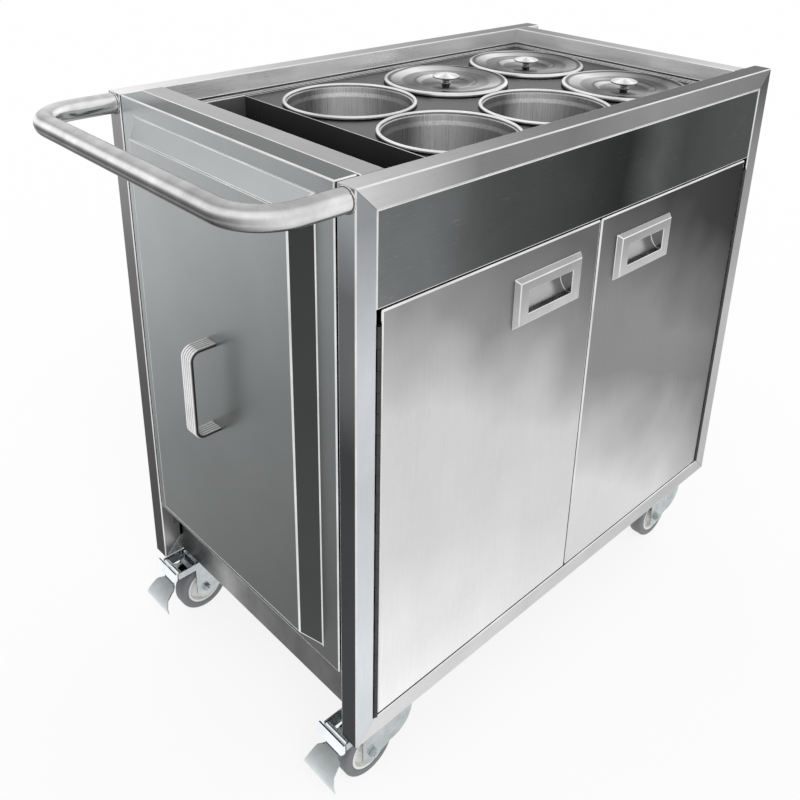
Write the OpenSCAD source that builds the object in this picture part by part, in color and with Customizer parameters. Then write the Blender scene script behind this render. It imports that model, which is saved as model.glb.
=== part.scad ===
// Seasoning cart: a square-tube frame on four casters, with six round pots in a sunken
// deck, two hinged doors, a pull-out bin at the left end and a tubular push handle.
// Built in cart coordinates: X from the frame's left face, Y from its front face and
// Z from the floor. at_cart() then moves everything so that the origin lies on the
// floor, under the middle of the overall box.

/* [Frame] */
// Length of the tube frame, left to right
frame_len = 950; // [900:1:1100]
// Depth of the tube frame, front to back
frame_dep = 550; // [540:1:640]
// Height of the tube frame without its casters
frame_h = 841; // [780:1:900]
// Outside width of the square tube
tube = 32; // [30:1:38]
// Wall of the square tube
tube_wall = 1.5; // [1:0.1:2.5]
// Distance of the end cross rails from the frame's ends
cross_inset = 35; // [33:0.5:44]
// Width of the end cross rails
cross_w = 36; // [32:1:40]
// Height of the two lower cross rails
cross_low_h = 64; // [40:1:70]
// Thickness of the sheet panels
sheet = 1.2; // [0.8:0.1:1.5]
// Depth of the deck below the frame's top
deck_drop = 34.5; // [33.5:0.5:40]

/* [Deck and pots] */
// Outside radius of a pot's body
pot_r = 99; // [90:0.5:99.5]
// Outside radius of a pot's rolled rim
pot_rim_r = 105.5; // [102:0.5:106]
// Depth of a pot below the deck
pot_depth = 140; // [110:1:150]
// Wall of a pot
pot_wall = 1.2; // [0.8:0.1:2]
// Distance between pots along the cart
pot_pitch_x = 215; // [214.5:0.5:218]
// Distance between the two rows of pots
pot_pitch_y = 217.5; // [214.5:0.5:222]
// Distance of the first pot's centre from the frame's left face
pot_first_x = 313; // [312:0.5:320]
// Distance of the middle between the two rows of pots from the frame's front face
pot_rows_y = 270; // [265:1:275]
// Right edge of the slot in the deck, from the frame's left face
slot_right = 206; // [180:1:207]
// Width of the flat strip around the sunk deck
deck_margin = 9; // [6:0.5:11]
// Depth of the chute under the slot
chute_h = 66; // [40:1:80]
// Open gap at each corner of the chute, whose four walls are folded down one by one
chute_relief = 0.8; // [0.5:0.1:2]
// Outside radius of a pot's lid
lid_r = 107; // [103:0.5:107]
// Height of the lid's raised ring over its edge
lid_rise = 5; // [3:0.5:8]
// Radius of the sunk middle of a lid
lid_dish_r = 52; // [40:1:60]
// Radius of a lid's knob
knob_r = 20; // [14:0.5:24]
// Height of a lid's knob
knob_h = 19; // [14:0.5:24]

/* [Doors] */
// Height of the fixed panel above the doors
apron_h = 124.5; // [100:0.5:150]
// Thickness of a door
door_t = 20; // [18:0.5:24]
// Gap between the two doors
split_gap = 3; // [2:0.5:6]
// Gap over and under a door
door_gap = 2.3; // [1.5:0.1:4]
// Gap between a door and its post, which holds the hinge
hinge_gap = 8.6; // [8.4:0.1:10]
// Radius of the hinge knuckles
knuckle_r = 3.3; // [3:0.1:3.4]
// Radius of the hinge pin
hinge_pin_r = 1.5; // [1.2:0.1:1.8]
// Length of one hinge knuckle
knuckle_len = 29.4; // [24:0.1:40]
// Length of a flush pull
pull_len = 148; // [130:1:170]
// Height of a flush pull
pull_h = 77; // [66:1:90]
// Distance that a flush pull stands out of its door
pull_raise = 8; // [5:0.5:10]
// Length of the opening in a flush pull
pull_hole_len = 97; // [80:1:110]
// Height of the opening in a flush pull
pull_hole_h = 35; // [28:1:42]
// Depth of the scoop behind the door's face
pull_scoop = 14; // [10:0.5:15]
// Distance from a flush pull to the split between the doors
pull_from_split = 44.5; // [30:0.5:60]
// Distance from a door's top edge to the centre of its flush pull
pull_drop = 75.7; // [50:0.1:160]

/* [Pull-out bin] */
// Gap between the end panel and the posts
end_gap = 4; // [3:0.5:8]
// Height of the end panel's bottom edge above the lower rails
end_lift = 84.5; // [60:0.5:140]
// Width of the end panel's flat margin at the posts
end_margin_y = 35; // [20:0.5:50]
// Width of the end panel's flat margin at its top and bottom
end_margin_z = 24; // [15:0.5:35]
// Distance that the middle of the end panel stands out
end_raise = 23; // [15:0.5:30]
// Gap between the bin and the chute over it
bin_gap = 6; // [4:0.5:150]
// Height of the strap handle
strap_h = 141; // [120:1:170]
// Width of the strap handle
strap_w = 24; // [20:0.5:36]
// Thickness of the strap handle
strap_t = 5; // [4:0.5:8]
// Distance that the strap handle stands out of the end panel
strap_reach = 41; // [35:0.5:50]
// Height of the strap handle's centre above the middle of the end panel
strap_up = 2.75; // [0:0.25:60]
// Length of the slides beside the bin
slide_len = 128; // [110:1:132]
// Height of the slides beside the bin
slide_h = 35; // [25:1:45]
// Distance of the slides from the top and bottom of the bin
slide_inset = 88; // [60:1:120]

/* [Push handle] */
// Outside radius of the push handle's tube
handle_r = 15; // [12.5:0.5:15.5]
// Wall of the push handle's tube
handle_wall = 1.5; // [1:0.1:2.5]
// Distance from the posts to the handle's cross bar, centre line
handle_reach = 123; // [115:1:160]
// Bend radius of the handle, centre line
handle_bend = 62; // [45:1:80]

/* [Casters] */
// Height of a caster
caster_h = 127; // [120:0.5:135]
// Radius of a wheel
wheel_r = 47; // [44:0.5:50]
// Width of a wheel
wheel_w = 28; // [24:0.5:30]
// Radius of a wheel's hub
hub_r = 34; // [30:0.5:36]
// Distance of the swivel axis from the frame's ends
swivel_x = 86; // [80:0.5:96]
// Distance of the swivel axis from the frame's front and back
swivel_y = 47; // [44:0.5:52]
// Distance from the swivel axis to the axle
trail = 30; // [26:0.5:34]
// Radius of the axle bolt
axle_r = 4; // [3.5:0.5:5]
// Length of a caster's top plate
plate_len = 92; // [84:1:100]
// Width of a caster's top plate
plate_w = 66; // [60:1:72]
// Width of a brake pedal at its hinge
pedal_w = 46; // [40:1:47]
// Width of a brake pedal at its tip
pedal_tip_w = 72; // [60:1:84]
// Width of a brake pedal's upper bar, which stands across the end of its bracket
pedal_bar_w = 57; // [50:1:62]
// Width of a brake pedal's neck, between its bar and its plate
pedal_neck_w = 30; // [20:1:40]

/* [Hidden] */
$fn = 64;
z_floor_rail = caster_h;
z_rail_top = caster_h + tube;
z_top = caster_h + frame_h;
z_upper = z_top - tube;
z_deck = z_top - deck_drop;
z_cross = caster_h + cross_low_h;
handle_out = handle_reach + handle_r;
mid_x = (frame_len - handle_out) / 2;
door_face = 0.5;
mid_y = (frame_dep + door_face - pull_raise) / 2;
running = 0.05;
seat = 0.2;
split_x = frame_len / 2;
inner_l = cross_inset + cross_w;
inner_r = frame_len - cross_inset - cross_w;

fold = 20;
fold_small = 14;
floor_fold = 24;
panel_recess = 1;
back_recess = 3;
lip_h = 5;
hole_clear = 2.5;
apron_z = z_upper - apron_h;
apron_fold = 44;

slot_left = inner_l + deck_margin;
slot_front = tube + deck_margin;
slot_back = frame_dep - tube - deck_margin;
chute_hem = 0.5;
wall_x = slot_right + sheet;
bay_overlap = 12;

shelf_lift = 341;
shelf_z = z_rail_top + shelf_lift;
shelf_fold = 18;
shelf_leg = 18;
shelf_clear = 2;
shelf_front = 60;
angle_front = shelf_front + 20;
angle_back = frame_dep - back_recess - fold_small - 40;

door_left = tube + hinge_gap;
door_right = split_x - split_gap / 2;
door_low = z_rail_top + door_gap;
door_high = apron_z - door_gap;
door_skin = 1;
hinge_x = tube + hinge_gap / 2;
hinge_y = 1;
leaf_t = 1.2;
leaf_w = 19;
leaf_y = hinge_y + knuckle_r + 0.3;
knuckle_gap = 0.6;
knuckle_step = knuckle_len + knuckle_gap;
knuckle_count = floor((door_high - door_low) / knuckle_step);
hinge_len = knuckle_count * knuckle_step - knuckle_gap;
pull_x = split_x - split_gap / 2 - pull_from_split - pull_len / 2;
pull_z = door_high - pull_drop;
pull_bevel = 6;
pull_cup = 2;
catch_len = 40;
catch_h = 14;
catch_d = 16;
catch_from_split = 70;

end_bottom = z_rail_top + end_lift;
end_y0 = tube + end_gap;
end_y1 = frame_dep - tube - end_gap;
end_skin = 1.2;
slide_t = 12;
slide_wall = 1.5;
slide_clear = 0.6;
bin_wall = 1;
bin_y0 = tube + sheet + slide_t + slide_clear + 1;
bin_y1 = frame_dep - bin_y0;
bin_x1 = wall_x - sheet - 4;
bin_low = end_bottom + 2;
bin_top = z_deck - chute_h - bin_gap;
slide_x0 = inner_l + 1;
slide_levels = [bin_low + slide_inset, bin_top - slide_inset];
strap_z = (z_top + end_bottom) / 2 + strap_up;
strap_bend = 16;
strap_ribs = 5;

handle_in = 0.5;
handle_y = handle_r + handle_in;
handle_z = z_top - tube / 2;

plate_t = 2.5;
race_r = 27;
race_h = 8;
fork_top = caster_h - plate_t - race_h - 0.3;
fork_t = 2.5;
fork_gap = wheel_w / 2 + 3.5;
kingpin_r = 6;
kingpin_head_r = 10;
bolt_r = 4;
bolt_dx = plate_len / 2 - 9;
bolt_dy = plate_w / 2 - 9;
bolt_head = 5;
tyre_round = 6;
nut_r = 8;
nut_h = 6;
bolt_proud = 2;
axle_clear = 0.15;
fork_eye = 19;
fork_left = -trail - fork_eye;
sweep_r = 42;
sweep_x = 8.5;
sweep_z = 84;
crown_right = sweep_x + sweep_r - 4;
kingpin_head_h = 4;
kingpin_gap = 0.3;
kingpin_low = fork_top - fork_t - kingpin_gap - kingpin_head_h;
hub_boss_r = 12;
hub_rim = 5;
hub_web = 3;
hub_inset = 1;
boss_gap = 0.3;

pin_r = 2;
pin_clear = 0.1;
pedal_reach = 82;
bracket_side = fork_gap + fork_t + 4;
bracket_t = 2;
bracket_out = bracket_side + bracket_t;
bracket_drop = 23;
bracket_low = caster_h - bracket_drop;
bracket_h = 13;
bracket_lug = 4;
bracket_tail = 8;
bracket_floor = 7;
bracket_hole = [15, 33];
brake_leaf_w = 26;
pedal_roll = 5.5;
pedal_pin_z = bracket_low + 6;
pot_bead = 3;
pot_step = 2;
pot_step_z = 14;
pot_corner = 12;
lid_z = z_deck + 2 * seat + 2 * pot_bead;
lid_sheet = 1;
lid_bead = 2;
lid_slope = 7;
lid_fall = 1;
knob_cap = 9;
knob_foot_r = 9;
knob_stem_r = 6;
knob_foot_h = 1.5;
knob_under = 3;
cup_len = pull_hole_len + 2 * pull_cup;
cup_h = pull_hole_h + 2 * pull_cup;
scoop_r = 24;
scoop_up = 4;
rest_gap = 0.8;
end_fold = cross_inset - rest_gap - sheet;
// Side view of the brake's leaf, from the bracket's floor at the fork
brake_leaf = [[-1, 1], [-11, 1], [-26, -4.5], [-26, -6.5], [-10, -2], [-1, -2]];
// Side views of a pedal's arm, its bar and the front of its plate, from the pin
pedal_arm = [[-10, 3], [0, 5], [0, -4], [-10, -4]];
pedal_bar = [[-11.5, 11], [-9, 11], [-8.5, 3], [-8.5, -4], [-12, -5], [-17, -2.5], [-16.5, 0]];
pedal_path = [
    [-8.5, -1], [-10, -22], [-20, -26], [-31, -36], [-35, -46], [-35.5, -54], [-34.5, -58]
];
// From the front of the plate to its back
pedal_back = [1.8, -1.8];
// Half the width of a pedal's plate at heights from the pin
pedal_widths = [
    [pedal_neck_w / 2, 2],
    [pedal_neck_w / 2, -23],
    [pedal_neck_w / 2 + 10, -27],
    [pedal_neck_w / 2 + 13, -38],
    [pedal_tip_w / 2, -56],
    [pedal_tip_w / 2, -62]
];
// Plan of the tongue that points from the pedal into the bracket's hole, and its heights
pedal_tongue = [[3.5, -8], [17, -1], [17, 1], [3.5, 8]];
pedal_tongue_z = [0.5, 2.5];

// Helpers

module at_cart() {
    translate([-mid_x, -mid_y, 0])
        children();
}

// A box between two corners
module block(low, high) {
    translate(low)
        cube(high - low);
}

// A shape drawn in X and Z, extruded along Y from y0 to y1
module along_y(y0, y1) {
    translate([0, y1, 0])
        rotate([90, 0, 0])
            linear_extrude(y1 - y0)
                children();
}

// A shape drawn in Y and Z, extruded along X from x0 to x1
module along_x(x0, x1) {
    translate([x0, 0, 0])
        rotate([90, 0, 90])
            linear_extrude(x1 - x0)
                children();
}

// The same on the right half of the cart
module mirrored() {
    translate([frame_len, 0, 0])
        mirror([1, 0, 0])
            children();
}

// The same on the back half of the cart
module mirrored_back() {
    translate([0, frame_dep, 0])
        mirror([0, 1, 0])
            children();
}

// Frame

// Mitred post at the frame's left end, with its tube open inside the mitres
module post(y0) {
    difference() {
        along_y(y0, y0 + tube)
            polygon([
                [0, z_floor_rail],
                [tube, z_rail_top],
                [tube, z_upper],
                [0, z_top]
            ]);
        block(
            [tube_wall, y0 + tube_wall, z_floor_rail - 1],
            [tube - tube_wall, y0 + tube - tube_wall, z_top + 1]
        );
    }
}

// Mitred rail along the cart, upper or lower
module long_rail(y0, upper) {
    outer_z = upper ? z_top : z_floor_rail;
    inner_z = upper ? z_upper : z_rail_top;
    low_z = min(outer_z, inner_z);
    difference() {
        along_y(y0, y0 + tube)
            polygon([
                [0, outer_z],
                [frame_len, outer_z],
                [frame_len - tube, inner_z],
                [tube, inner_z]
            ]);
        block(
            [-1, y0 + tube_wall, low_z + tube_wall],
            [frame_len + 1, y0 + tube - tube_wall, low_z + tube - tube_wall]
        );
    }
}

module front_left_post() {
    color("silver") at_cart() post(0);
}

module front_right_post() {
    color("silver") at_cart() mirrored() post(0);
}

module rear_left_post() {
    color("silver") at_cart() post(frame_dep - tube);
}

module rear_right_post() {
    color("silver") at_cart() mirrored() post(frame_dep - tube);
}

module long_rails() {
    color("silver")
        at_cart()
            for (y0 = [0, frame_dep - tube], upper = [true, false])
                long_rail(y0, upper);
}

// Tube across the cart, between the front and the back rails
module cross_rail(low_z, tall) {
    difference() {
        block(
            [cross_inset, tube, low_z],
            [cross_inset + cross_w, frame_dep - tube, low_z + tall]
        );
        block(
            [cross_inset + tube_wall, tube - 1, low_z + tube_wall],
            [cross_inset + cross_w - tube_wall, frame_dep - tube + 1, low_z + tall - tube_wall]
        );
    }
}

module end_pair() {
    cross_rail(z_upper, tube);
    cross_rail(z_floor_rail, cross_low_h);
}

module end_cross_rails() {
    color("silver")
        at_cart() {
            end_pair();
            mirrored() end_pair();
        }
}

// Panels

module back_panel() {
    outer_y = frame_dep - back_recess;
    color("gainsboro")
        at_cart()
            difference() {
                block(
                    [tube, outer_y - fold_small, z_rail_top],
                    [frame_len - tube, outer_y, z_upper]
                );
                block(
                    [tube + sheet, outer_y - fold_small - 1, z_rail_top + sheet],
                    [frame_len - tube - sheet, outer_y - sheet, z_upper - sheet]
                );
            }
}

module right_end_panel() {
    outer_x = frame_len - cross_inset;
    color("gainsboro")
        at_cart()
            difference() {
                block([outer_x - fold, tube, z_cross], [outer_x, frame_dep - tube, z_upper]);
                block(
                    [outer_x - fold - 1, tube + sheet, z_cross + sheet],
                    [outer_x - sheet, frame_dep - tube - sheet, z_upper - sheet]
                );
            }
}

module front_apron() {
    color("dimgray")
        at_cart() {
            difference() {
                block(
                    [tube, panel_recess, apron_z],
                    [frame_len - tube, panel_recess + fold, z_upper]
                );
                block(
                    [tube + sheet, panel_recess + sheet, apron_z + sheet],
                    [frame_len - tube - sheet, panel_recess + fold + 1, z_upper - sheet]
                );
            }
            block(
                [wall_x + sheet + shelf_clear, panel_recess + fold - sheet, apron_z],
                [inner_r - fold - shelf_clear, panel_recess + apron_fold, apron_z + sheet]
            );
        }
}

module floor_panel() {
    color("gainsboro")
        at_cart()
            difference() {
                block(
                    [inner_l, tube, z_rail_top - floor_fold],
                    [inner_r, frame_dep - tube, z_rail_top]
                );
                block(
                    [inner_l + sheet, tube + sheet, z_rail_top - floor_fold - 1],
                    [inner_r - sheet, frame_dep - tube - sheet, z_rail_top - sheet]
                );
            }
}

// Side wall of the bin's bay, welded to a post and to the lower cross rail
module bay_side() {
    along_y(tube, tube + sheet)
        polygon([
            [tube - bay_overlap, z_cross],
            [inner_l, z_cross],
            [inner_l, z_rail_top],
            [wall_x + sheet, z_rail_top],
            [wall_x + sheet, z_deck - sheet],
            [tube - bay_overlap, z_deck - sheet]
        ]);
}

module bay_liner() {
    color("darkgray")
        at_cart() {
            bay_side();
            mirrored_back() bay_side();
            block(
                [wall_x, tube, z_rail_top],
                [wall_x + sheet, frame_dep - tube, z_deck - sheet]
            );
        }
}

module mid_shelf() {
    x0 = wall_x + sheet + shelf_clear;
    x1 = frame_len - cross_inset - fold - shelf_clear;
    y1 = frame_dep - back_recess - fold_small - shelf_clear;
    color("gainsboro")
        at_cart()
            difference() {
                block([x0, shelf_front, shelf_z - shelf_fold], [x1, y1, shelf_z]);
                block(
                    [x0 + sheet, shelf_front + sheet, shelf_z - shelf_fold - 1],
                    [x1 - sheet, y1 - sheet, shelf_z - sheet]
                );
            }
}

// Angle that carries the shelf: one leg on the wall, the other under the shelf's fold
module shelf_angle_bar(wall, inward) {
    top = shelf_z - shelf_fold;
    far = wall + inward * shelf_leg;
    near = wall + inward * sheet;
    block([min(wall, far), angle_front, top - sheet], [max(wall, far), angle_back, top]);
    block([min(wall, near), angle_front, top - shelf_leg], [max(wall, near), angle_back, top]);
}

module shelf_supports() {
    color("darkgray")
        at_cart() {
            shelf_angle_bar(wall_x + sheet, 1);
            shelf_angle_bar(frame_len - cross_inset - fold, -1);
            right_rib();
        }
}

// Upright that carries the right shelf angle, between the end panel's sheet and its fold
module right_rib() {
    outer_x = frame_len - cross_inset;
    top = shelf_z - shelf_fold;
    block([outer_x - fold, angle_front, top - shelf_leg], [outer_x - sheet, angle_back, top]);
}

// Deck, slot and pots

function pot_x(column) = pot_first_x + column * pot_pitch_x;
function pot_y(row) = pot_rows_y + (row - 0.5) * pot_pitch_y;

// Tray between the rails: an upstand, a flat strip and the sunk deck with its openings
module top_deck() {
    color("lightgray")
        at_cart()
            difference() {
                block(
                    [inner_l, tube, z_deck - sheet],
                    [inner_r, frame_dep - tube, z_upper + lip_h]
                );
                block(
                    [inner_l + sheet, tube + sheet, z_upper],
                    [inner_r - sheet, frame_dep - tube - sheet, z_upper + lip_h + 1]
                );
                block(
                    [slot_left, slot_front, z_deck],
                    [inner_r - deck_margin, slot_back, z_upper + 1]
                );
                block(
                    [slot_left, slot_front, z_deck - sheet - 1],
                    [slot_right, slot_back, z_deck + 1]
                );
                for (column = [0:2], row = [0:1])
                    translate([pot_x(column), pot_y(row), z_deck - sheet - 1])
                        cylinder(h = sheet + 2, r = pot_r + hole_clear);
            }
}

// Four walls folded down around the slot, with open corners
module slot_chute() {
    low = z_deck - chute_h;
    top = z_upper - chute_hem;
    setback = sheet + chute_relief;
    color("dimgray")
        at_cart() {
            for (x0 = [slot_left, slot_right - sheet])
                block(
                    [x0, slot_front + setback, low],
                    [x0 + sheet, slot_back - setback, top]
                );
            for (y0 = [slot_front, slot_back - sheet])
                block([slot_left, y0, low], [slot_right, y0 + sheet, top]);
        }
}

// Round pot with a rolled rim that rests on the deck
module pot(column, row) {
    base = z_deck - pot_depth;
    flange = z_deck + seat;
    step_z = z_deck - pot_step_z;
    color("whitesmoke")
        at_cart()
            translate([pot_x(column), pot_y(row), 0])
                rotate_extrude() {
                    polygon([
                        [0, base],
                        [pot_r - pot_step - pot_corner, base],
                        [pot_r - pot_step, base + pot_corner],
                        [pot_r - pot_step, step_z - pot_step],
                        [pot_r, step_z],
                        [pot_r, flange],
                        [pot_rim_r - pot_bead, flange],
                        [pot_rim_r - pot_bead, flange + pot_wall],
                        [pot_r - pot_wall, flange + pot_wall],
                        [pot_r - pot_wall, step_z],
                        [pot_r - pot_step - pot_wall, step_z - pot_step],
                        [pot_r - pot_step - pot_wall, base + pot_corner],
                        [pot_r - pot_step - pot_corner, base + pot_wall],
                        [0, base + pot_wall]
                    ]);
                    translate([pot_rim_r - pot_bead, flange + pot_bead])
                        circle(r = pot_bead, $fn = 24);
                }
}

module pot_front_left() {
    pot(0, 0);
}

module pot_front_middle() {
    pot(1, 0);
}

module pot_front_right() {
    pot(2, 0);
}

module pot_rear_left() {
    pot(0, 1);
}

module pot_rear_middle() {
    pot(1, 1);
}

module pot_rear_right() {
    pot(2, 1);
}

// Lid with a rolled edge, a raised ring and a sunk middle
module lid(column, row) {
    top = [
        [lid_r - lid_bead, lid_z + lid_sheet],
        [lid_r - lid_bead - lid_slope, lid_z + lid_rise + lid_sheet],
        [lid_dish_r + lid_slope, lid_z + lid_rise + lid_sheet - lid_fall],
        [lid_dish_r, lid_z + lid_sheet],
        [0, lid_z + lid_sheet]
    ];
    last = len(top) - 1;
    under = [for (i = [0:last]) [top[last - i][0], top[last - i][1] - lid_sheet]];
    color("white")
        at_cart()
            translate([pot_x(column), pot_y(row), 0])
                rotate_extrude() {
                    polygon(concat(top, under));
                    translate([lid_r - lid_bead, lid_z + lid_bead])
                        circle(r = lid_bead, $fn = 24);
                }
}

module lid_front_right() {
    lid(2, 0);
}

module lid_rear_middle() {
    lid(1, 1);
}

module lid_rear_right() {
    lid(2, 1);
}

// Mushroom knob on a short stem
module knob(column, row) {
    foot = lid_z + lid_sheet;
    crown = foot + knob_h - knob_cap;
    under = crown - knob_under;
    cap = [for (i = [0:8]) [knob_r * cos(90 * i / 8), crown + knob_cap * sin(90 * i / 8)]];
    color("white")
        at_cart()
            translate([pot_x(column), pot_y(row), 0])
                rotate_extrude()
                    polygon(concat(
                        [
                            [0, foot],
                            [knob_foot_r, foot],
                            [knob_foot_r, foot + knob_foot_h],
                            [knob_stem_r, foot + 2 * knob_foot_h],
                            [knob_stem_r, under],
                            [knob_r - knob_under, crown - knob_under / 2]
                        ],
                        cap
                    ));
}

module knob_front_right() {
    knob(2, 0);
}

module knob_rear_middle() {
    knob(1, 1);
}

module knob_rear_right() {
    knob(2, 1);
}

// Push handle

module handle_section() {
    difference() {
        circle(r = handle_r);
        circle(r = handle_r - handle_wall);
    }
}

// One arm and its bend, up to the start of the cross bar
module handle_half() {
    straight = handle_reach - handle_bend;
    along_x(-straight, 0)
        translate([handle_y, handle_z])
            handle_section();
    translate([-straight, handle_y + handle_bend, handle_z])
        rotate([0, 0, 180])
            rotate_extrude(angle = 90)
                translate([handle_bend, 0])
                    handle_section();
}

module push_handle() {
    bar_start = handle_y + handle_bend;
    color("gainsboro")
        at_cart() {
            handle_half();
            mirrored_back() handle_half();
            along_y(bar_start, frame_dep - bar_start)
                translate([-handle_reach, handle_z])
                    handle_section();
        }
}

// Doors: the left one is drawn, the right one is its mirror image

module door_shell() {
    difference() {
        block([door_left, door_face, door_low], [door_right, door_face + door_t, door_high]);
        block(
            [door_left + door_skin, door_face + door_skin, door_low + door_skin],
            [door_right - door_skin, door_face + door_t + 1, door_high - door_skin]
        );
        block(
            [pull_x - cup_len / 2, door_face - 1, pull_z - cup_h / 2],
            [pull_x + cup_len / 2, door_face + door_skin + 1, pull_z + cup_h / 2]
        );
    }
}

module door_liner() {
    back = door_face + door_t;
    block(
        [door_left + door_skin, back - door_skin, door_low + door_skin],
        [door_right - door_skin, back, door_high - door_skin]
    );
}

// Bevelled frame with a curved scoop that reaches behind the door's face
module door_pull() {
    face = door_face - pull_raise;
    difference() {
        union() {
            intersection() {
                along_y(face, door_face)
                    translate([pull_x, pull_z])
                        square([pull_len, pull_h], center = true);
                pull_bevel_x();
                pull_bevel_z();
            }
            block(
                [pull_x - cup_len / 2, door_face, pull_z - cup_h / 2],
                [pull_x + cup_len / 2, door_face + pull_scoop + pull_cup, pull_z + cup_h / 2]
            );
        }
        intersection() {
            block(
                [pull_x - pull_hole_len / 2, face - 1, pull_z - pull_hole_h / 2],
                [pull_x + pull_hole_len / 2, door_face + pull_scoop, pull_z + pull_hole_h / 2]
            );
            along_x(pull_x - pull_hole_len / 2, pull_x + pull_hole_len / 2)
                translate([door_face + pull_scoop - scoop_r, pull_z + scoop_up])
                    circle(r = scoop_r);
        }
    }
}

// Slopes at the two ends of a pull's frame
module pull_bevel_x() {
    half = pull_len / 2;
    translate([pull_x, 0, pull_z - pull_h])
        linear_extrude(2 * pull_h)
            polygon([
                [-half, door_face],
                [half, door_face],
                [half - pull_bevel, door_face - pull_raise],
                [pull_bevel - half, door_face - pull_raise]
            ]);
}

// Slopes at the top and bottom of a pull's frame
module pull_bevel_z() {
    half = pull_h / 2;
    along_x(pull_x - pull_len, pull_x + pull_len)
        polygon([
            [door_face, pull_z - half],
            [door_face, pull_z + half],
            [door_face - pull_raise, pull_z + half - pull_bevel],
            [door_face - pull_raise, pull_z - half + pull_bevel]
        ]);
}

// Every second knuckle of a hinge: first is 0 for the frame's leaf and 1 for the door's
module knuckles(first) {
    for (i = [first:2:knuckle_count - 1])
        translate([hinge_x, hinge_y, door_low + i * knuckle_step])
            difference() {
                cylinder(h = knuckle_len, r = knuckle_r, $fn = 32);
                translate([0, 0, -1])
                    cylinder(h = knuckle_len + 2, r = hinge_pin_r + running, $fn = 32);
            }
}

// Flat leaf from x0 on, joined to its own knuckles only
module hinge_leaf(x0, first) {
    block([x0, leaf_y, door_low], [x0 + leaf_t, hinge_y + leaf_w, door_low + hinge_len]);
    for (i = [first:2:knuckle_count - 1])
        block(
            [x0, hinge_y, door_low + i * knuckle_step],
            [x0 + leaf_t, leaf_y + leaf_t, door_low + i * knuckle_step + knuckle_len]
        );
    knuckles(first);
}

module frame_leaf() {
    hinge_leaf(tube, 0);
}

module door_leaf() {
    hinge_leaf(door_left - leaf_t, 1);
}

module left_door_shell() {
    color("silver") at_cart() door_shell();
}

module left_door_liner() {
    color("gainsboro") at_cart() door_liner();
}

module left_door_pull() {
    color("lightgray") at_cart() door_pull();
}

module left_door_leaf() {
    color("silver") at_cart() door_leaf();
}

module right_door_shell() {
    color("silver") at_cart() mirrored() door_shell();
}

module right_door_liner() {
    color("gainsboro") at_cart() mirrored() door_liner();
}

module right_door_pull() {
    color("lightgray") at_cart() mirrored() door_pull();
}

module right_door_leaf() {
    color("silver") at_cart() mirrored() door_leaf();
}

module hinge_frame_leaves() {
    color("silver")
        at_cart() {
            frame_leaf();
            mirrored() frame_leaf();
        }
}

// Pin through all knuckles of a door
module hinge_pin() {
    translate([hinge_x, hinge_y, door_low])
        cylinder(h = hinge_len, r = hinge_pin_r, $fn = 32);
}

module hinge_pins() {
    color("gray")
        at_cart() {
            hinge_pin();
            mirrored() hinge_pin();
        }
}

// Magnetic catch under the apron's lower fold
module door_catch() {
    y0 = door_face + door_t + seat;
    x1 = split_x - catch_from_split;
    block([x1 - catch_len, y0, apron_z - catch_h], [x1, y0 + catch_d, apron_z]);
}

module door_catches() {
    color("dimgray")
        at_cart() {
            door_catch();
            mirrored() door_catch();
        }
}

// Pull-out bin

// Middle of the end panel, standing out with slopes of 45 degrees; inset draws its inside
module end_bulge(x_top, x_base, inset) {
    half_y = (end_y1 - end_y0) / 2 - end_margin_y - inset;
    half_z = (z_top - end_bottom) / 2 - end_margin_z - inset;
    mid_z = (z_top + end_bottom) / 2;
    intersection() {
        translate([0, frame_dep / 2, mid_z - half_z - x_base])
            linear_extrude(2 * (half_z + x_base))
                end_trapezoid(x_top, x_base, half_y);
        along_y(frame_dep / 2 - half_y - x_base, frame_dep / 2 + half_y + x_base)
            translate([0, mid_z])
                end_trapezoid(x_top, x_base, half_z);
    }
}

module end_trapezoid(x_top, x_base, half) {
    polygon([
        [x_top, -half - x_top],
        [x_base, -half - x_base],
        [x_base, half + x_base],
        [x_top, half + x_top]
    ]);
}

module end_panel() {
    color("slategray")
        at_cart()
            difference() {
                union() {
                    block([0, end_y0, end_bottom], [end_fold, end_y1, z_top]);
                    end_bulge(-end_raise, end_skin / 2, 0);
                }
                block(
                    [end_skin, end_y0 + end_skin, end_bottom + end_skin],
                    [end_fold + 1, end_y1 - end_skin, z_top - end_skin]
                );
                end_bulge(end_skin - end_raise, end_skin + 1, end_skin * sqrt(2));
            }
}

module pullout_bin() {
    x0 = end_fold + sheet;
    color("darkgray")
        at_cart() {
            block([end_fold, end_y0, end_bottom], [x0, end_y1, z_top]);
            difference() {
                block([x0, bin_y0, bin_low], [bin_x1, bin_y1, bin_top]);
                block(
                    [x0, bin_y0 + bin_wall, bin_low + bin_wall],
                    [bin_x1 - bin_wall, bin_y1 - bin_wall, bin_top + 1]
                );
            }
        }
}

// Ribbed section of the strap: X points away from the inner face, Y across the strap
module strap_section() {
    rib_w = strap_w / strap_ribs;
    square([strap_t - rib_w / 2, strap_w]);
    for (i = [0:strap_ribs - 1])
        translate([strap_t - rib_w / 2, (i + 0.5) * rib_w])
            circle(r = rib_w / 2, $fn = 24);
}

// Upper half of the strap: arm, bend and half of the bar
module strap_half() {
    y0 = (frame_dep - strap_w) / 2;
    bend_x = -end_raise - strap_reach + strap_bend;
    bend_z = strap_h / 2 - strap_bend;
    translate([-end_raise, y0, strap_h / 2 - strap_t])
        rotate([0, -90, 0])
            linear_extrude(-end_raise - bend_x)
                strap_section();
    translate([bend_x, y0, bend_z])
        rotate([-90, 0, 0])
            rotate([0, 0, 180])
                rotate_extrude(angle = 90)
                    translate([strap_bend - strap_t, 0])
                        strap_section();
    translate([bend_x - strap_bend + strap_t, y0, bend_z])
        rotate([0, 180, 0])
            linear_extrude(bend_z)
                strap_section();
}

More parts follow.
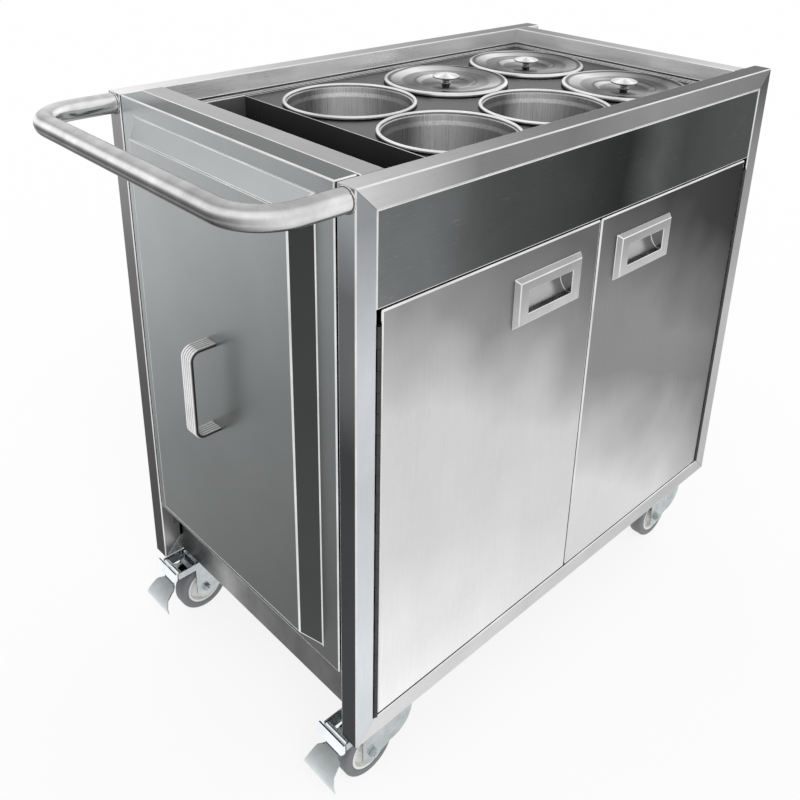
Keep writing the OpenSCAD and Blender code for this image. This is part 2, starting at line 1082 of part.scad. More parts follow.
module strap_handle() {
    color("lightgray")
        at_cart()
            translate([0, 0, strap_z]) {
                strap_half();
                mirror([0, 0, 1]) strap_half();
            }
}

// Outer channel of a slide, on the bay's side wall
module slide_outer(level) {
    y0 = tube + sheet;
    difference() {
        block(
            [slide_x0, y0, level - slide_h / 2],
            [slide_x0 + slide_len, y0 + slide_t, level + slide_h / 2]
        );
        block(
            [slide_x0 - 1, y0 + slide_wall, level - slide_h / 2 + slide_wall],
            [slide_x0 + slide_len + 1, y0 + slide_t + 1, level + slide_h / 2 - slide_wall]
        );
    }
}

// Inner rail of a slide, on the bin's side
module slide_inner(level) {
    half = slide_h / 2 - slide_wall - slide_clear;
    block(
        [slide_x0, tube + sheet + slide_wall + slide_clear, level - half],
        [slide_x0 + slide_len, bin_y0, level + half]
    );
}

module slide_outer_rails() {
    color("gray")
        at_cart()
            for (level = slide_levels) {
                slide_outer(level);
                mirrored_back() slide_outer(level);
            }
}

module slide_inner_rails() {
    color("lightgray")
        at_cart()
            for (level = slide_levels) {
                slide_inner(level);
                mirrored_back() slide_inner(level);
            }
}

// Casters: local X and Y from the swivel axis, Z from the floor

module at_caster(right, rear) {
    at_cart()
        translate([
            right ? frame_len - swivel_x : swivel_x,
            rear ? frame_dep - swivel_y : swivel_y,
            0
        ])
            children();
}

module caster_plate() {
    difference() {
        union() {
            block(
                [-plate_len / 2, -plate_w / 2, caster_h - plate_t],
                [plate_len / 2, plate_w / 2, caster_h]
            );
            translate([0, 0, caster_h - plate_t - race_h])
                cylinder(h = race_h, r = race_r);
        }
        for (dx = [-bolt_dx, bolt_dx], dy = [-bolt_dy, bolt_dy])
            translate([dx, dy, caster_h - plate_t - 1])
                cylinder(h = plate_t + 2, r = bolt_r + seat, $fn = 32);
    }
    translate([0, 0, kingpin_low])
        cylinder(h = caster_h - plate_t - race_h - kingpin_low, r = kingpin_r);
    translate([0, 0, kingpin_low])
        cylinder(h = kingpin_head_h, r = kingpin_head_r);
}

module caster_plates() {
    color("gainsboro")
        for (right = [false, true], rear = [false, true])
            at_caster(right, rear)
                caster_plate();
}

module caster_bolts() {
    color("silver")
        for (right = [false, true], rear = [false, true])
            at_caster(right, rear)
                for (dx = [-bolt_dx, bolt_dx], dy = [-bolt_dy, bolt_dy])
                    translate([dx, dy, 0]) {
                        translate([0, 0, caster_h - plate_t - bolt_head])
                            cylinder(h = bolt_head, r = bolt_r * 1.75, $fn = 6);
                        translate([0, 0, caster_h - plate_t - 0.1])
                            cylinder(h = plate_t + 0.1, r = bolt_r, $fn = 32);
                    }
}

// Fork: crown under the race and two swept side plates down to the axle
module fork_body() {
    outer = fork_gap + fork_t;
    difference() {
        union() {
            block([fork_left, -outer, fork_top - fork_t], [crown_right, outer, fork_top]);
            translate([0, 0, fork_top - fork_t])
                cylinder(h = fork_t, r = race_r);
            for (y0 = [-outer, fork_gap])
                along_y(y0, y0 + fork_t)
                    fork_outline();
        }
        translate([0, 0, fork_top - fork_t - 1])
            cylinder(h = fork_t + 2, r = kingpin_r + running);
        along_y(-outer - 1, outer + 1)
            translate([-trail, wheel_r])
                circle(r = axle_r + axle_clear, $fn = 32);
    }
}

// Side plate: a round eye at the axle and a round sweep at the other side
module fork_outline() {
    polygon([
        [fork_left, fork_top],
        [crown_right, fork_top],
        [sweep_x + sweep_r, sweep_z],
        [sweep_x + 4, sweep_z - sweep_r + 2],
        [fork_eye * cos(40) - trail, wheel_r - fork_eye * sin(40)],
        [fork_left, wheel_r]
    ]);
    translate([-trail, wheel_r])
        circle(r = fork_eye);
    intersection() {
        translate([sweep_x, sweep_z])
            circle(r = sweep_r);
        translate([sweep_x - sweep_r, sweep_z - sweep_r])
            square([2 * sweep_r, sweep_r]);
    }
}

// Axle bolt with its head at the back and its nut at the front
module axle_bolt() {
    outside = fork_gap + fork_t + seat;
    along_y(-outside - nut_h - bolt_proud, outside + 0.1)
        translate([-trail, wheel_r])
            circle(r = axle_r, $fn = 32);
    for (y0 = [-outside - nut_h, outside])
        along_y(y0, y0 + nut_h)
            translate([-trail, wheel_r])
                circle(r = nut_r, $fn = 6);
}

// Channel around the fork that carries the brake pedal, with a square hole in its floor
// and the brake's leaf under the hole
module brake_bracket() {
    half_z = bracket_low + bracket_h / 2;
    top = bracket_low + bracket_h;
    floor_x = bracket_floor - pedal_reach;
    hole_x = floor_x - 1;
    difference() {
        union() {
            for (y0 = [-bracket_out, bracket_side])
                along_y(y0, y0 + bracket_t)
                    polygon([
                        [-pedal_reach - bracket_lug, bracket_low],
                        [-pedal_reach - bracket_lug, top],
                        [fork_left + bracket_tail, top],
                        [fork_left + bracket_h, half_z],
                        [bracket_tail, half_z],
                        [bracket_tail, bracket_low]
                    ]);
            block(
                [floor_x, -bracket_out, bracket_low],
                [bracket_tail, bracket_out, bracket_low + bracket_t]
            );
        }
        block(
            [hole_x, -bracket_hole[1] / 2, bracket_low - 1],
            [hole_x + bracket_hole[0], bracket_hole[1] / 2, bracket_low + bracket_t + 1]
        );
        along_y(-bracket_out - 1, bracket_out + 1)
            translate([-pedal_reach, pedal_pin_z])
                circle(r = pin_r + pin_clear, $fn = 32);
    }
    along_y(-brake_leaf_w / 2, brake_leaf_w / 2)
        translate([fork_left, bracket_low])
            polygon(brake_leaf);
}

module pedal_pin() {
    along_y(-bracket_out, bracket_out)
        translate([-pedal_reach, pedal_pin_z])
            circle(r = pin_r, $fn = 32);
}

module plain_fork(right, rear) {
    color("gainsboro")
        at_caster(right, rear) {
            fork_body();
            axle_bolt();
        }
}

module braked_fork(right, rear) {
    plain_fork(right, rear);
    color("lightsteelblue")
        at_caster(right, rear) {
            brake_bracket();
            pedal_pin();
        }
}

module front_left_fork() {
    braked_fork(false, false);
}

module rear_left_fork() {
    braked_fork(false, true);
}

module front_right_fork() {
    plain_fork(true, false);
}

module rear_right_fork() {
    plain_fork(true, true);
}

// Wheel parts, turned about the axle
module on_axle() {
    translate([-trail, 0, wheel_r])
        rotate([90, 0, 0])
            children();
}

module hub(right, rear) {
    boss = fork_gap - boss_gap;
    rim_half = wheel_w / 2 - hub_inset;
    color("whitesmoke")
        at_caster(right, rear)
            on_axle()
                rotate_extrude()
                    polygon([
                        [axle_r + running, -boss],
                        [hub_boss_r, -boss],
                        [hub_boss_r, -hub_web],
                        [hub_r - hub_rim, -hub_web],
                        [hub_r - hub_rim, -rim_half],
                        [hub_r, -rim_half],
                        [hub_r, rim_half],
                        [hub_r - hub_rim, rim_half],
                        [hub_r - hub_rim, hub_web],
                        [hub_boss_r, hub_web],
                        [hub_boss_r, boss],
                        [axle_r + running, boss]
                    ]);
}

module tyre(right, rear) {
    half = wheel_w / 2;
    corner = [for (i = [0:6]) [
        wheel_r - tyre_round + tyre_round * cos(15 * i),
        half - tyre_round + tyre_round * sin(15 * i)
    ]];
    last = len(corner) - 1;
    other = [for (i = [0:last]) [corner[last - i][0], -corner[last - i][1]]];
    color("gray")
        at_caster(right, rear)
            on_axle()
                rotate_extrude()
                    polygon(concat([[hub_r, -half]], other, corner, [[hub_r, half]]));
}

module front_left_hub() {
    hub(false, false);
}

module rear_left_hub() {
    hub(false, true);
}

module front_right_hub() {
    hub(true, false);
}

module rear_right_hub() {
    hub(true, true);
}

module front_left_tyre() {
    tyre(false, false);
}

module rear_left_tyre() {
    tyre(false, true);
}

module front_right_tyre() {
    tyre(true, false);
}

module rear_right_tyre() {
    tyre(true, true);
}

// Brake pedal: an eye and an arm on the pin, a bar across the bracket's end, a tongue over
// the bracket's hole, and a bent plate that hangs from a neck and widens to its tip
module pedal(rear) {
    half = pedal_w / 2;
    tip_half = pedal_tip_w / 2;
    last = len(pedal_widths) - 1;
    other = [for (i = [0:last]) [-pedal_widths[last - i][0], pedal_widths[last - i][1]]];
    color("lightcyan")
        at_caster(false, rear)
            translate([-pedal_reach, 0, pedal_pin_z])
                difference() {
                    union() {
                        along_y(-half, half) {
                            circle(r = pedal_roll, $fn = 32);
                            polygon(pedal_arm);
                        }
                        along_y(-pedal_bar_w / 2, pedal_bar_w / 2)
                            polygon(pedal_bar);
                        translate([0, 0, pedal_tongue_z[0]])
                            linear_extrude(pedal_tongue_z[1] - pedal_tongue_z[0])
                                polygon(pedal_tongue);
                        intersection() {
                            along_y(-tip_half, tip_half) pedal_strip();
                            along_x(-pedal_reach, 0) polygon(concat(pedal_widths, other));
                        }
                    }
                    along_y(-half - 1, half + 1)
                        circle(r = pin_r + running, $fn = 32);
                }
}

// Side view of the pedal's plate: its front and, behind it, the same path again
module pedal_strip() {
    last = len(pedal_path) - 1;
    back = [for (i = [0:last]) pedal_path[last - i] + pedal_back];
    polygon(concat(pedal_path, back));
}

module front_left_pedal() {
    pedal(false);
}

module rear_left_pedal() {
    pedal(true);
}

front_left_post();
front_right_post();
rear_left_post();
rear_right_post();
long_rails();
end_cross_rails();
back_panel();
right_end_panel();
front_apron();
floor_panel();
bay_liner();
mid_shelf();
shelf_supports();
top_deck();
slot_chute();
push_handle();
left_door_shell();
left_door_liner();
left_door_pull();
left_door_leaf();
right_door_shell();
right_door_liner();
right_door_pull();
right_door_leaf();
hinge_frame_leaves();
hinge_pins();
door_catches();
end_panel();
pullout_bin();
strap_handle();
slide_outer_rails();
slide_inner_rails();
pot_front_left();
pot_front_middle();
pot_front_right();
pot_rear_left();
pot_rear_middle();
pot_rear_right();
lid_front_right();
lid_rear_middle();
lid_rear_right();
knob_front_right();
knob_rear_middle();
knob_rear_right();
caster_plates();
caster_bolts();
front_left_fork();
rear_left_fork();
front_right_fork();
rear_right_fork();
front_left_hub();
rear_left_hub();
front_right_hub();
rear_right_hub();
front_left_tyre();
rear_left_tyre();
front_right_tyre();
rear_right_tyre();
front_left_pedal();
rear_left_pedal();
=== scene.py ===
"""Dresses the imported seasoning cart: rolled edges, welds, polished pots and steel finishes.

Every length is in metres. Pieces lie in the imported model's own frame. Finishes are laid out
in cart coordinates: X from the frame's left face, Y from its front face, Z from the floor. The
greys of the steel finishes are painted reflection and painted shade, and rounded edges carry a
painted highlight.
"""

import logging
from dataclasses import dataclass
from enum import Enum
from math import cos, pi, radians, sin
from typing import Iterable, Optional, Sequence, Union

import bmesh
import bpy
from mathutils import Matrix, Vector


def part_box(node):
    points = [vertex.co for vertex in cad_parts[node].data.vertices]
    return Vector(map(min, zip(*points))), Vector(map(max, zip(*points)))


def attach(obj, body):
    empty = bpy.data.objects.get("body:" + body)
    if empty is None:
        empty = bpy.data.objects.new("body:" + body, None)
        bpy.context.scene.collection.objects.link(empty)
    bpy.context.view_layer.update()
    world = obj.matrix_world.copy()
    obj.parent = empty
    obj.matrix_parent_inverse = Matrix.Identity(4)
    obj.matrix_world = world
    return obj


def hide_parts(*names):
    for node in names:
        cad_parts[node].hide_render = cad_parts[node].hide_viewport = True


log = logging.getLogger("seasoning_cart")

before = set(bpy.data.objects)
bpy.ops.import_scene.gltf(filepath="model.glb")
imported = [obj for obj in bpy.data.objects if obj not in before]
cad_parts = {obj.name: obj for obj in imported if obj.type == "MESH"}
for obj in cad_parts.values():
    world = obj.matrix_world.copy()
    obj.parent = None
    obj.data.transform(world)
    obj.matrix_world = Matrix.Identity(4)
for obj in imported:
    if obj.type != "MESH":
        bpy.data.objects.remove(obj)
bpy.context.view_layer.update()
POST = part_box("front_left_post")
ORIGIN = Vector((POST[0].x, POST[0].y, 0.0))
TUBE = POST[1].x - POST[0].x

Stops = Sequence[tuple[float, float]]
Profile = Sequence[tuple[float, float]]
Triple = tuple[float, float, float]
Rgb = Triple
Socket = bpy.types.NodeSocket
Edges = Iterable[bmesh.types.BMEdge]
Faces = Iterable[bmesh.types.BMFace]
NEUTRAL: Rgb = (1.0, 1.0, 1.0)
COOL: Rgb = (0.955, 0.995, 1.035)
TEAL: Rgb = (0.95, 1.0, 1.0)
ZINC_TINT: Rgb = (0.94, 1.0, 1.015)
NEAR = 1e-5

# Share of a metal's own grey in its glancing reflection, and the least grey of that
GRAZING_GAIN: Rgb = (0.65, 0.65, 0.65)
GRAZING_LEAST: Rgb = (0.53, 0.53, 0.53)

# Brushed lines: factors across and along the grain, spots per metre, depth of the bump
BRUSH_ACROSS = 55.0
BRUSH_ALONG = 1.1
BRUSH_SCALE = 12.0
BRUSH_DEPTH = 0.000006

# Short slanting scratches: factors, turn, spots per metre, noise above which one shows
SCUFF_STRETCH: Triple = (16.0, 40.0, 190.0)
SCUFF_TURN: Triple = (0.0, radians(58), radians(12))
SCUFF_SCALE = 2.6
SCUFF_LEVEL = 0.75

# Fine grain and dusty patches of mouldings, in spots per metre
GRAIN_SCALE = 900.0
DUST_SCALE = 60.0


class Axis(Enum):
    """A direction of the cart."""

    X = 0
    Y = 1
    Z = 2

    def way(self) -> Triple:
        """Gives the direction as a vector of length 1."""
        return tuple(1.0 if self.value == index else 0.0 for index in range(3))


class End(Enum):
    """The low or the high end of a box along an axis."""

    LOW = 0
    HIGH = 1


class Slot(Enum):
    """The record's material slots."""

    FRAME = "frame_steel"
    SHEET = "sheet_steel"
    FITTING = "fitting_steel"
    POLISHED = "polished_steel"
    CATCH = "catch_plastic"
    ZINC = "zinc_plate"
    HUB = "hub_plastic"
    RUBBER = "grey_rubber"


def linear(grey: float) -> float:
    """Turns a screen grey from 0 to 255 into linear light."""
    return (grey / 255.0) ** 2.2


# Materials


class Graph:
    """Adds and links the shader nodes of one material."""

    def __init__(self, name: str) -> None:
        """Starts an empty material.

        Args:
            name: Name of the material.
        """
        self.material = bpy.data.materials.new(name)
        self.material.use_nodes = True
        self.tree = self.material.node_tree
        self.tree.nodes.clear()

    def node(self, kind: str, **settings: object) -> bpy.types.Node:
        """Adds a node.

        Args:
            kind: Node type without its ShaderNode prefix.
            settings: Values of the node's own properties.

        Returns:
            The new node.
        """
        made = self.tree.nodes.new("ShaderNode" + kind)
        for key, value in settings.items():
            setattr(made, key, value)
        return made

    def feed(self, socket: Socket, value: object) -> None:
        """Links an output into an input, or sets the input to a plain value.

        Args:
            socket: The input.
            value: Another node's output, or a number, vector or colour.
        """
        if isinstance(value, bpy.types.NodeSocket):
            self.tree.links.new(value, socket)
        else:
            socket.default_value = value

    def math(self, operation: str, *inputs: object, clamp: bool = False) -> Socket:
        """Adds a math node.

        Args:
            operation: Blender's name of the operation.
            inputs: Numbers or outputs, in order.
            clamp: Whether the result is kept between 0 and 1.

        Returns:
            The node's output.
        """
        made = self.node("Math", operation=operation, use_clamp=clamp)
        for socket, value in zip(made.inputs, inputs):
            self.feed(socket, value)
        return made.outputs[0]

    def vector(self, operation: str, *inputs: object, scale: object = None) -> bpy.types.Node:
        """Adds a vector math node.

        Args:
            operation: Blender's name of the operation.
            inputs: Vectors or outputs, in order.
            scale: Factor of the SCALE operation.

        Returns:
            The node, whose output 0 is a vector and output 1 a number.
        """
        made = self.node("VectorMath", operation=operation)
        for socket, value in zip(made.inputs, inputs):
            self.feed(socket, value)
        if scale is not None:
            self.feed(made.inputs["Scale"], scale)
        return made

    def split(self, vector: object) -> bpy.types.NodeOutputs:
        """Gives the three parts of a vector."""
        made = self.node("SeparateXYZ")
        self.feed(made.inputs[0], vector)
        return made.outputs

    def place(self) -> Socket:
        """Gives the position on the piece in cart coordinates."""
        coords = self.node("TexCoord").outputs["Object"]
        return self.vector("SUBTRACT", coords, tuple(ORIGIN)).outputs[0]

    def noise(self, where: object, scale: float, detail: float = 2.0, rough: float = 0.5) -> Socket:
        """Adds noise about 0, mostly between -1 and 1.

        Args:
            where: Coordinates to read it at.
            scale: Spots per metre.
            detail: Number of finer layers.
            rough: Strength of the finer layers.

        Returns:
            The centred noise.
        """
        made = self.node("TexNoise")
        self.feed(made.inputs["Vector"], where)
        self.feed(made.inputs["Scale"], scale)
        self.feed(made.inputs["Detail"], detail)
        self.feed(made.inputs["Roughness"], rough)
        return self.math("MULTIPLY_ADD", made.outputs[0], 4.0, -2.0)

    def stretch(self, where: object, scale: Triple, turn: Triple = (0.0, 0.0, 0.0)) -> Socket:
        """Scales and turns coordinates.

        Args:
            where: Coordinates.
            scale: Factor along each axis.
            turn: Turn about each axis, in radians.

        Returns:
            The new coordinates.
        """
        made = self.node("Mapping")
        self.feed(made.inputs["Vector"], where)
        self.feed(made.inputs["Scale"], scale)
        self.feed(made.inputs["Rotation"], turn)
        return made.outputs[0]

    def ramp(self, factor: object, stops: Stops, tint: Rgb = NEUTRAL) -> Socket:
        """Adds a ramp of greys.

        Args:
            factor: Where to read it, from 0 to 1.
            stops: Pairs of place and screen grey from 0 to 255.
            tint: Factor on red, green and blue.

        Returns:
            The colour.
        """
        made = self.node("ValToRGB")
        elements = made.color_ramp.elements
        for index, (place, grey) in enumerate(stops):
            element = elements[index] if index < 2 else elements.new(place)
            element.position = place
            element.color = (*(linear(grey) * part for part in tint), 1.0)
        self.feed(made.inputs[0], factor)
        return made.outputs[0]

    def blend(self, factor: object, first: object, second: object, mode: str = "MIX") -> Socket:
        """Mixes two colours.

        Args:
            factor: Share of the second colour.
            first: First colour.
            second: Second colour.
            mode: Blender's name of the mix.

        Returns:
            The mixed colour.
        """
        made = self.node("Mix", data_type="RGBA", blend_type=mode)
        inputs = {socket.identifier: socket for socket in made.inputs}
        self.feed(inputs["Factor_Float"], factor)
        self.feed(inputs["A_Color"], first)
        self.feed(inputs["B_Color"], second)
        return next(s for s in made.outputs if s.identifier == "Result_Color")

    def surface(self, color: object, metallic: float, roughness: object, height: object,
                depth: float, coat: float = 0.0) -> bpy.types.Material:
        """Ends the material with one principled shader.

        A metal's glancing reflection is held near its own grey, so that its top faces, which
        are seen at a glancing angle, don't turn pale.

        Args:
            color: Base colour.
            metallic: 1 for bare metal.
            roughness: Roughness, plain or varied.
            height: Height that the bump follows.
            depth: Depth of the bump.
            coat: Weight of a clear coat.

        Returns:
            The finished material.
        """
        bump = self.node("Bump")
        self.feed(bump.inputs["Strength"], 1.0)
        self.feed(bump.inputs["Distance"], depth)
        self.feed(bump.inputs["Height"], height)
        shader = self.node("BsdfPrincipled")
        self.feed(shader.inputs["Base Color"], color)
        self.feed(shader.inputs["Metallic"], metallic)
        if metallic:
            grazing = self.vector("MULTIPLY_ADD", color, GRAZING_GAIN, GRAZING_LEAST)
            grazing = self.vector("MINIMUM", grazing.outputs[0], NEUTRAL).outputs[0]
            self.feed(shader.inputs["Specular Tint"], grazing)
        self.feed(shader.inputs["Roughness"], roughness)
        self.feed(shader.inputs["Coat Weight"], coat)
        self.feed(shader.inputs["Normal"], bump.outputs[0])
        output = self.node("OutputMaterial")
        self.feed(output.inputs["Surface"], shader.outputs[0])
        return self.material


@dataclass(frozen=True)
class Shade:
    """Greys of a surface along one straight direction, used for painted shade and painted
    reflection.

    Attributes:
        along: Direction; its length sets how fast the greys pass.
        start: Value along it of share 0 of the stops.
        end: Value along it of share 1.
        stops: Pairs of share of the way and screen grey.
    """

    along: Triple
    start: float
    end: float
    stops: Stops

    def color(self, graph: Graph, place: object, tint: Rgb) -> Socket:
        """Reads the greys.

        Args:
            graph: Material to add to.
            place: Cart coordinates.
            tint: Factor on red, green and blue.

        Returns:
            The colour at the place.
        """
        span = graph.node("MapRange")
        graph.feed(span.inputs["Value"], graph.vector("DOT_PRODUCT", place, self.along).outputs[1])
        graph.feed(span.inputs["From Min"], self.start)
        graph.feed(span.inputs["From Max"], self.end)
        return graph.ramp(span.outputs[0], self.stops, tint)


@dataclass(frozen=True)
class Fan:
    """Painted reflection: greys around an upright axis, as round polished steel shows its
    surroundings.

    Attributes:
        x: Place of the axis along the cart.
        y: Place of the axis across the cart.
        stops: Pairs of share of a turn, from the left end round by the front, and grey.
        twist: How much the greys turn with the distance from the axis, in turns per metre.
        rings: Painted bright and dark rings, as pairs of share of the reach and a grey to multiply
            by, where 255 changes nothing.
        reach: Distance from the axis of share 1 of the rings.
    """

    x: float
    y: float
    stops: Stops
    twist: float = 0.0
    rings: Stops = ((0.0, 255), (1.0, 255))
    reach: float = 0.11

    def color(self, graph: Graph, place: object, tint: Rgb) -> Socket:
        """Reads the greys.

        Args:
            graph: Material to add to.
            place: Cart coordinates.
            tint: Factor on red, green and blue.

        Returns:
            The colour at the place.
        """
        spoke = graph.vector("SUBTRACT", place, (self.x, self.y, 0.0)).outputs[0]
        flat = graph.vector("MULTIPLY", spoke, (1.0, 1.0, 0.0)).outputs[0]
        far = graph.vector("LENGTH", flat).outputs[1]
        parts = graph.split(spoke)
        turn = graph.math("ARCTAN2", parts[1], parts[0])
        share = graph.math("MULTIPLY_ADD", turn, 0.5 / pi, 0.5)
        share = graph.math("FRACT", graph.math("MULTIPLY_ADD", far, self.twist, share))
        around = graph.ramp(share, self.stops, tint)
        rings = graph.ramp(graph.math("DIVIDE", far, self.reach), self.rings)
        return graph.blend(1.0, around, rings, "MULTIPLY")


Greys = Union[Shade, Fan]


def even(*greys: float, axis: Axis = Axis.X, start: float = 0.0, end: float = 1.0) -> Shade:
    """Gives a shade whose greys are evenly spaced along an axis.

    Args:
        greys: Screen greys from start to end.
        axis: Axis that they follow.
        start: Cart coordinate of the first grey.
        end: Cart coordinate of the last grey.

    Returns:
        The shade.
    """
    last = max(len(greys) - 1, 1)
    stops = tuple((index / last, grey) for index, grey in enumerate(greys))
    return Shade(axis.way(), start, end, stops if len(stops) > 1 else (*stops, (1.0, greys[0])))


@dataclass(frozen=True)
class Steel:
    """Bare steel with painted reflection and painted shade, whose greys follow the way each face
    looks.

    Attributes:
        name: Name of the finish.
        front: Painted reflection and shade of faces that look to the front or the back.
        side: Painted reflection and shade of faces that look to the left or the right.
        top: Painted reflection and shade of faces that look up or down.
        painted_shade: Painted shade that the other greys are multiplied by, where 255 changes
            nothing.
        grain: Direction of the brushing.
        tint: Factor on red, green and blue.
        metal: Share of the light that is mirrored; the rest is scattered.
        roughness: Roughness between the marks.
        cloud: Strength of the soft cloudy patches.
        patch: Cloudy patches per metre.
        streak: Strength of the brushed lines.
        scuff: Strength of the short bright scratches.
        wander: How far the greys wander off their straight lines.
    """

    name: str
    front: Greys
    side: Greys
    top: Greys
    painted_shade: Optional[Greys] = None
    grain: Axis = Axis.Z
    tint: Rgb = NEUTRAL
    metal: float = 1.0
    roughness: float = 0.30
    cloud: float = 0.10
    patch: float = 7.0
    streak: float = 0.05
    scuff: float = 0.0
    wander: float = 0.02

    def build(self) -> bpy.types.Material:
        """Makes the material."""
        graph = Graph(self.name)
        place = graph.place()
        warp = graph.vector("SCALE", NEUTRAL, scale=graph.math(
            "MULTIPLY", graph.noise(place, 5.0), self.wander)).outputs[0]
        # Painted reflection and shade: greys picked by the way each face looks.
        color = self.faces(graph, graph.vector("ADD", place, warp).outputs[0])
        # Painted shade multiplies the greys where one is given.
        if self.painted_shade:
            color = graph.blend(1.0, color, self.painted_shade.color(graph, place, NEUTRAL), "MULTIPLY")
        brush = [BRUSH_ACROSS] * 3
        brush[self.grain.value] = BRUSH_ALONG
        lines = graph.noise(graph.stretch(place, tuple(brush)), BRUSH_SCALE, 3.0, 0.6)
        patches = graph.noise(place, self.patch, 4.0, 0.6)
        gain = graph.math("MULTIPLY_ADD", patches, self.cloud, 1.0)
        gain = graph.math("MULTIPLY_ADD", lines, self.streak, gain)
        if self.scuff:
            slant = graph.stretch(place, SCUFF_STRETCH, SCUFF_TURN)
            marks = graph.noise(slant, SCUFF_SCALE, 1.0)
            marks = graph.math("SUBTRACT", marks, SCUFF_LEVEL, clamp=True)
            gain = graph.math("MULTIPLY_ADD", marks, self.scuff, gain)
        color = graph.vector("SCALE", color, scale=gain).outputs[0]
        rough = graph.math("MULTIPLY_ADD", lines, 0.03, self.roughness)
        rough = graph.math("MULTIPLY_ADD", patches, 0.04, rough, clamp=True)
        return graph.surface(color, self.metal, rough, lines, BRUSH_DEPTH)

    def faces(self, graph: Graph, place: object) -> Socket:
        """Picks from the three sets of painted reflection and shade by the way the surface looks.

        A surface halfway to the top has the top's greys, and one halfway to the side the front's.

        Args:
            graph: Material to add to.
            place: Cart coordinates.

        Returns:
            The blended colour.
        """
        normal = graph.node("TexCoord").outputs["Normal"]
        parts = graph.split(graph.vector("MULTIPLY", normal, normal).outputs[0])
        front = self.front.color(graph, place, self.tint)
        side = self.side.color(graph, place, self.tint)
        top = self.top.color(graph, place, self.tint)
        sideways = graph.math("MULTIPLY_ADD", parts[0], 2.0, -1.0, clamp=True)
        upward = graph.math("MULTIPLY", parts[2], 2.0, clamp=True)
        return graph.blend(upward, graph.blend(sideways, front, side), top)


@dataclass(frozen=True)
class TubeSteel(Steel):
    """Round tube, whose painted reflection greys run from its underside up over its left and right
    sides.

    Attributes:
        around: Painted reflection bands, as pairs of share of the way up and screen grey.
    """

    around: Stops = ((0.0, 128), (1.0, 255))

    def faces(self, graph: Graph, place: object) -> Socket:
        """Reads the painted reflection greys up the tube, multiplied by those of its top.

        Args:
            graph: Material to add to.
            place: Cart coordinates.

        Returns:
            The colour.
        """
        normal = graph.node("TexCoord").outputs["Normal"]
        up = graph.math("MULTIPLY_ADD", graph.split(normal)[2], 0.5, 0.5)
        along = self.top.color(graph, place, NEUTRAL)
        side = graph.blend(1.0, graph.ramp(up, self.around, self.tint), along, "MULTIPLY")
        across = graph.split(normal)[1]
        front = self.front.color(graph, place, self.tint)
        return graph.blend(graph.math("MULTIPLY", across, across), side, front)


@dataclass(frozen=True)
class Moulding:
    """Moulded plastic or rubber.

    Attributes:
        name: Name of the finish.
        color: Base colour.
        roughness: Roughness of the clean surface.
        grain: Depth of the fine grain.
        dust: Strength of the pale dusty patches.
        coat: Weight of a clear gloss.
    """

    name: str
    color: Rgb
    roughness: float
    grain: float
    dust: float
    coat: float = 0.0

    def build(self) -> bpy.types.Material:
        """Makes the material."""
        graph = Graph(self.name)
        place = graph.place()
        dust = graph.noise(place, DUST_SCALE, 5.0, 0.65)
        worn = graph.math("MULTIPLY_ADD", dust, self.dust, 1.0)
        color = graph.vector("SCALE", self.color, scale=worn).outputs[0]
        rough = graph.math("MULTIPLY_ADD", dust, 0.06, self.roughness, clamp=True)
        fine = graph.noise(place, GRAIN_SCALE, 2.0)
        return graph.surface(color, 0.0, rough, fine, self.grain, self.coat)


Finish = Union[Steel, Moulding]


def material(finish: Finish) -> bpy.types.Material:
    """Gives a finish's material, made once."""
    return bpy.data.materials.get(finish.name) or finish.build()


# Painted highlight that rounded edges get, standing in for light caught on the bends.
PAINTED_EDGE_HIGHLIGHT = Steel("painted_edge_highlight", even(222), even(214), even(232), cloud=0.22,
                    patch=11.0, streak=0.0, roughness=0.22)
# Painted reflection on the doors: light low down, darker upwards and to the right.
LEFT_DOOR = Steel(
    "left_door_steel", Shade((0.5, 0.0, 1.0), 0.20, 1.0, (
        (0.0, 246), (0.34, 212), (0.62, 207), (0.80, 146), (1.0, 105))),
    even(150), even(170), streak=0.035, cloud=0.045, wander=0.03)
# The right door also has painted shade towards its right edge.
RIGHT_DOOR = Steel(
    "right_door_steel", Shade((0.5, 0.0, 1.0), 0.40, 1.25, (
        (0.0, 212), (0.18, 216), (0.48, 141), (0.60, 142), (0.87, 68), (1.0, 64))),
    even(120), even(170), streak=0.035, cloud=0.045, wander=0.03,
    painted_shade=even(255, 228, start=0.76, end=0.90))
# Painted reflection and shade on the apron: lighter at its left end, darkest past its middle.
APRON = Steel(
    "apron_steel", Shade((1.0, 0.0, 0.25), 0.218, 1.148, (
        (0.0, 126), (0.22, 82), (0.56, 51), (0.645, 88), (0.72, 74), (1.0, 86))),
    even(110), even(150), grain=Axis.X, tint=TEAL, cloud=0.12, scuff=1.1, wander=0.035)
# Painted light and shade on the posts: light front faces, dark left and right faces.
FRONT_LEFT_POST = Steel(
    "front_left_post_steel", Shade((0.0, 0.0, 1.0), 0.15, 0.93, (
        (0.0, 216), (0.13, 225), (0.5, 202), (0.75, 208), (1.0, 150))),
    Shade((0.0, 0.0, 1.0), 0.15, 0.93, (
        (0.0, 73), (0.6, 66), (0.75, 102), (0.88, 102), (1.0, 150))),
    even(200), tint=COOL, cloud=0.08)
FRONT_RIGHT_POST = Steel(
    "front_right_post_steel", Shade((0.0, 0.0, 1.0), 0.16, 0.94, (
        (0.0, 184), (0.45, 184), (0.85, 141), (1.0, 94))),
    even(138, 110, 130, axis=Axis.Z, start=0.18, end=0.94), even(190), cloud=0.06)
REAR_POST = Steel(
    "rear_post_steel", even(168, 132, 175, axis=Axis.Z, start=0.16, end=0.94),
    even(72, 86, 112, 150, axis=Axis.Z, start=0.15, end=0.94), even(200), cloud=0.08)
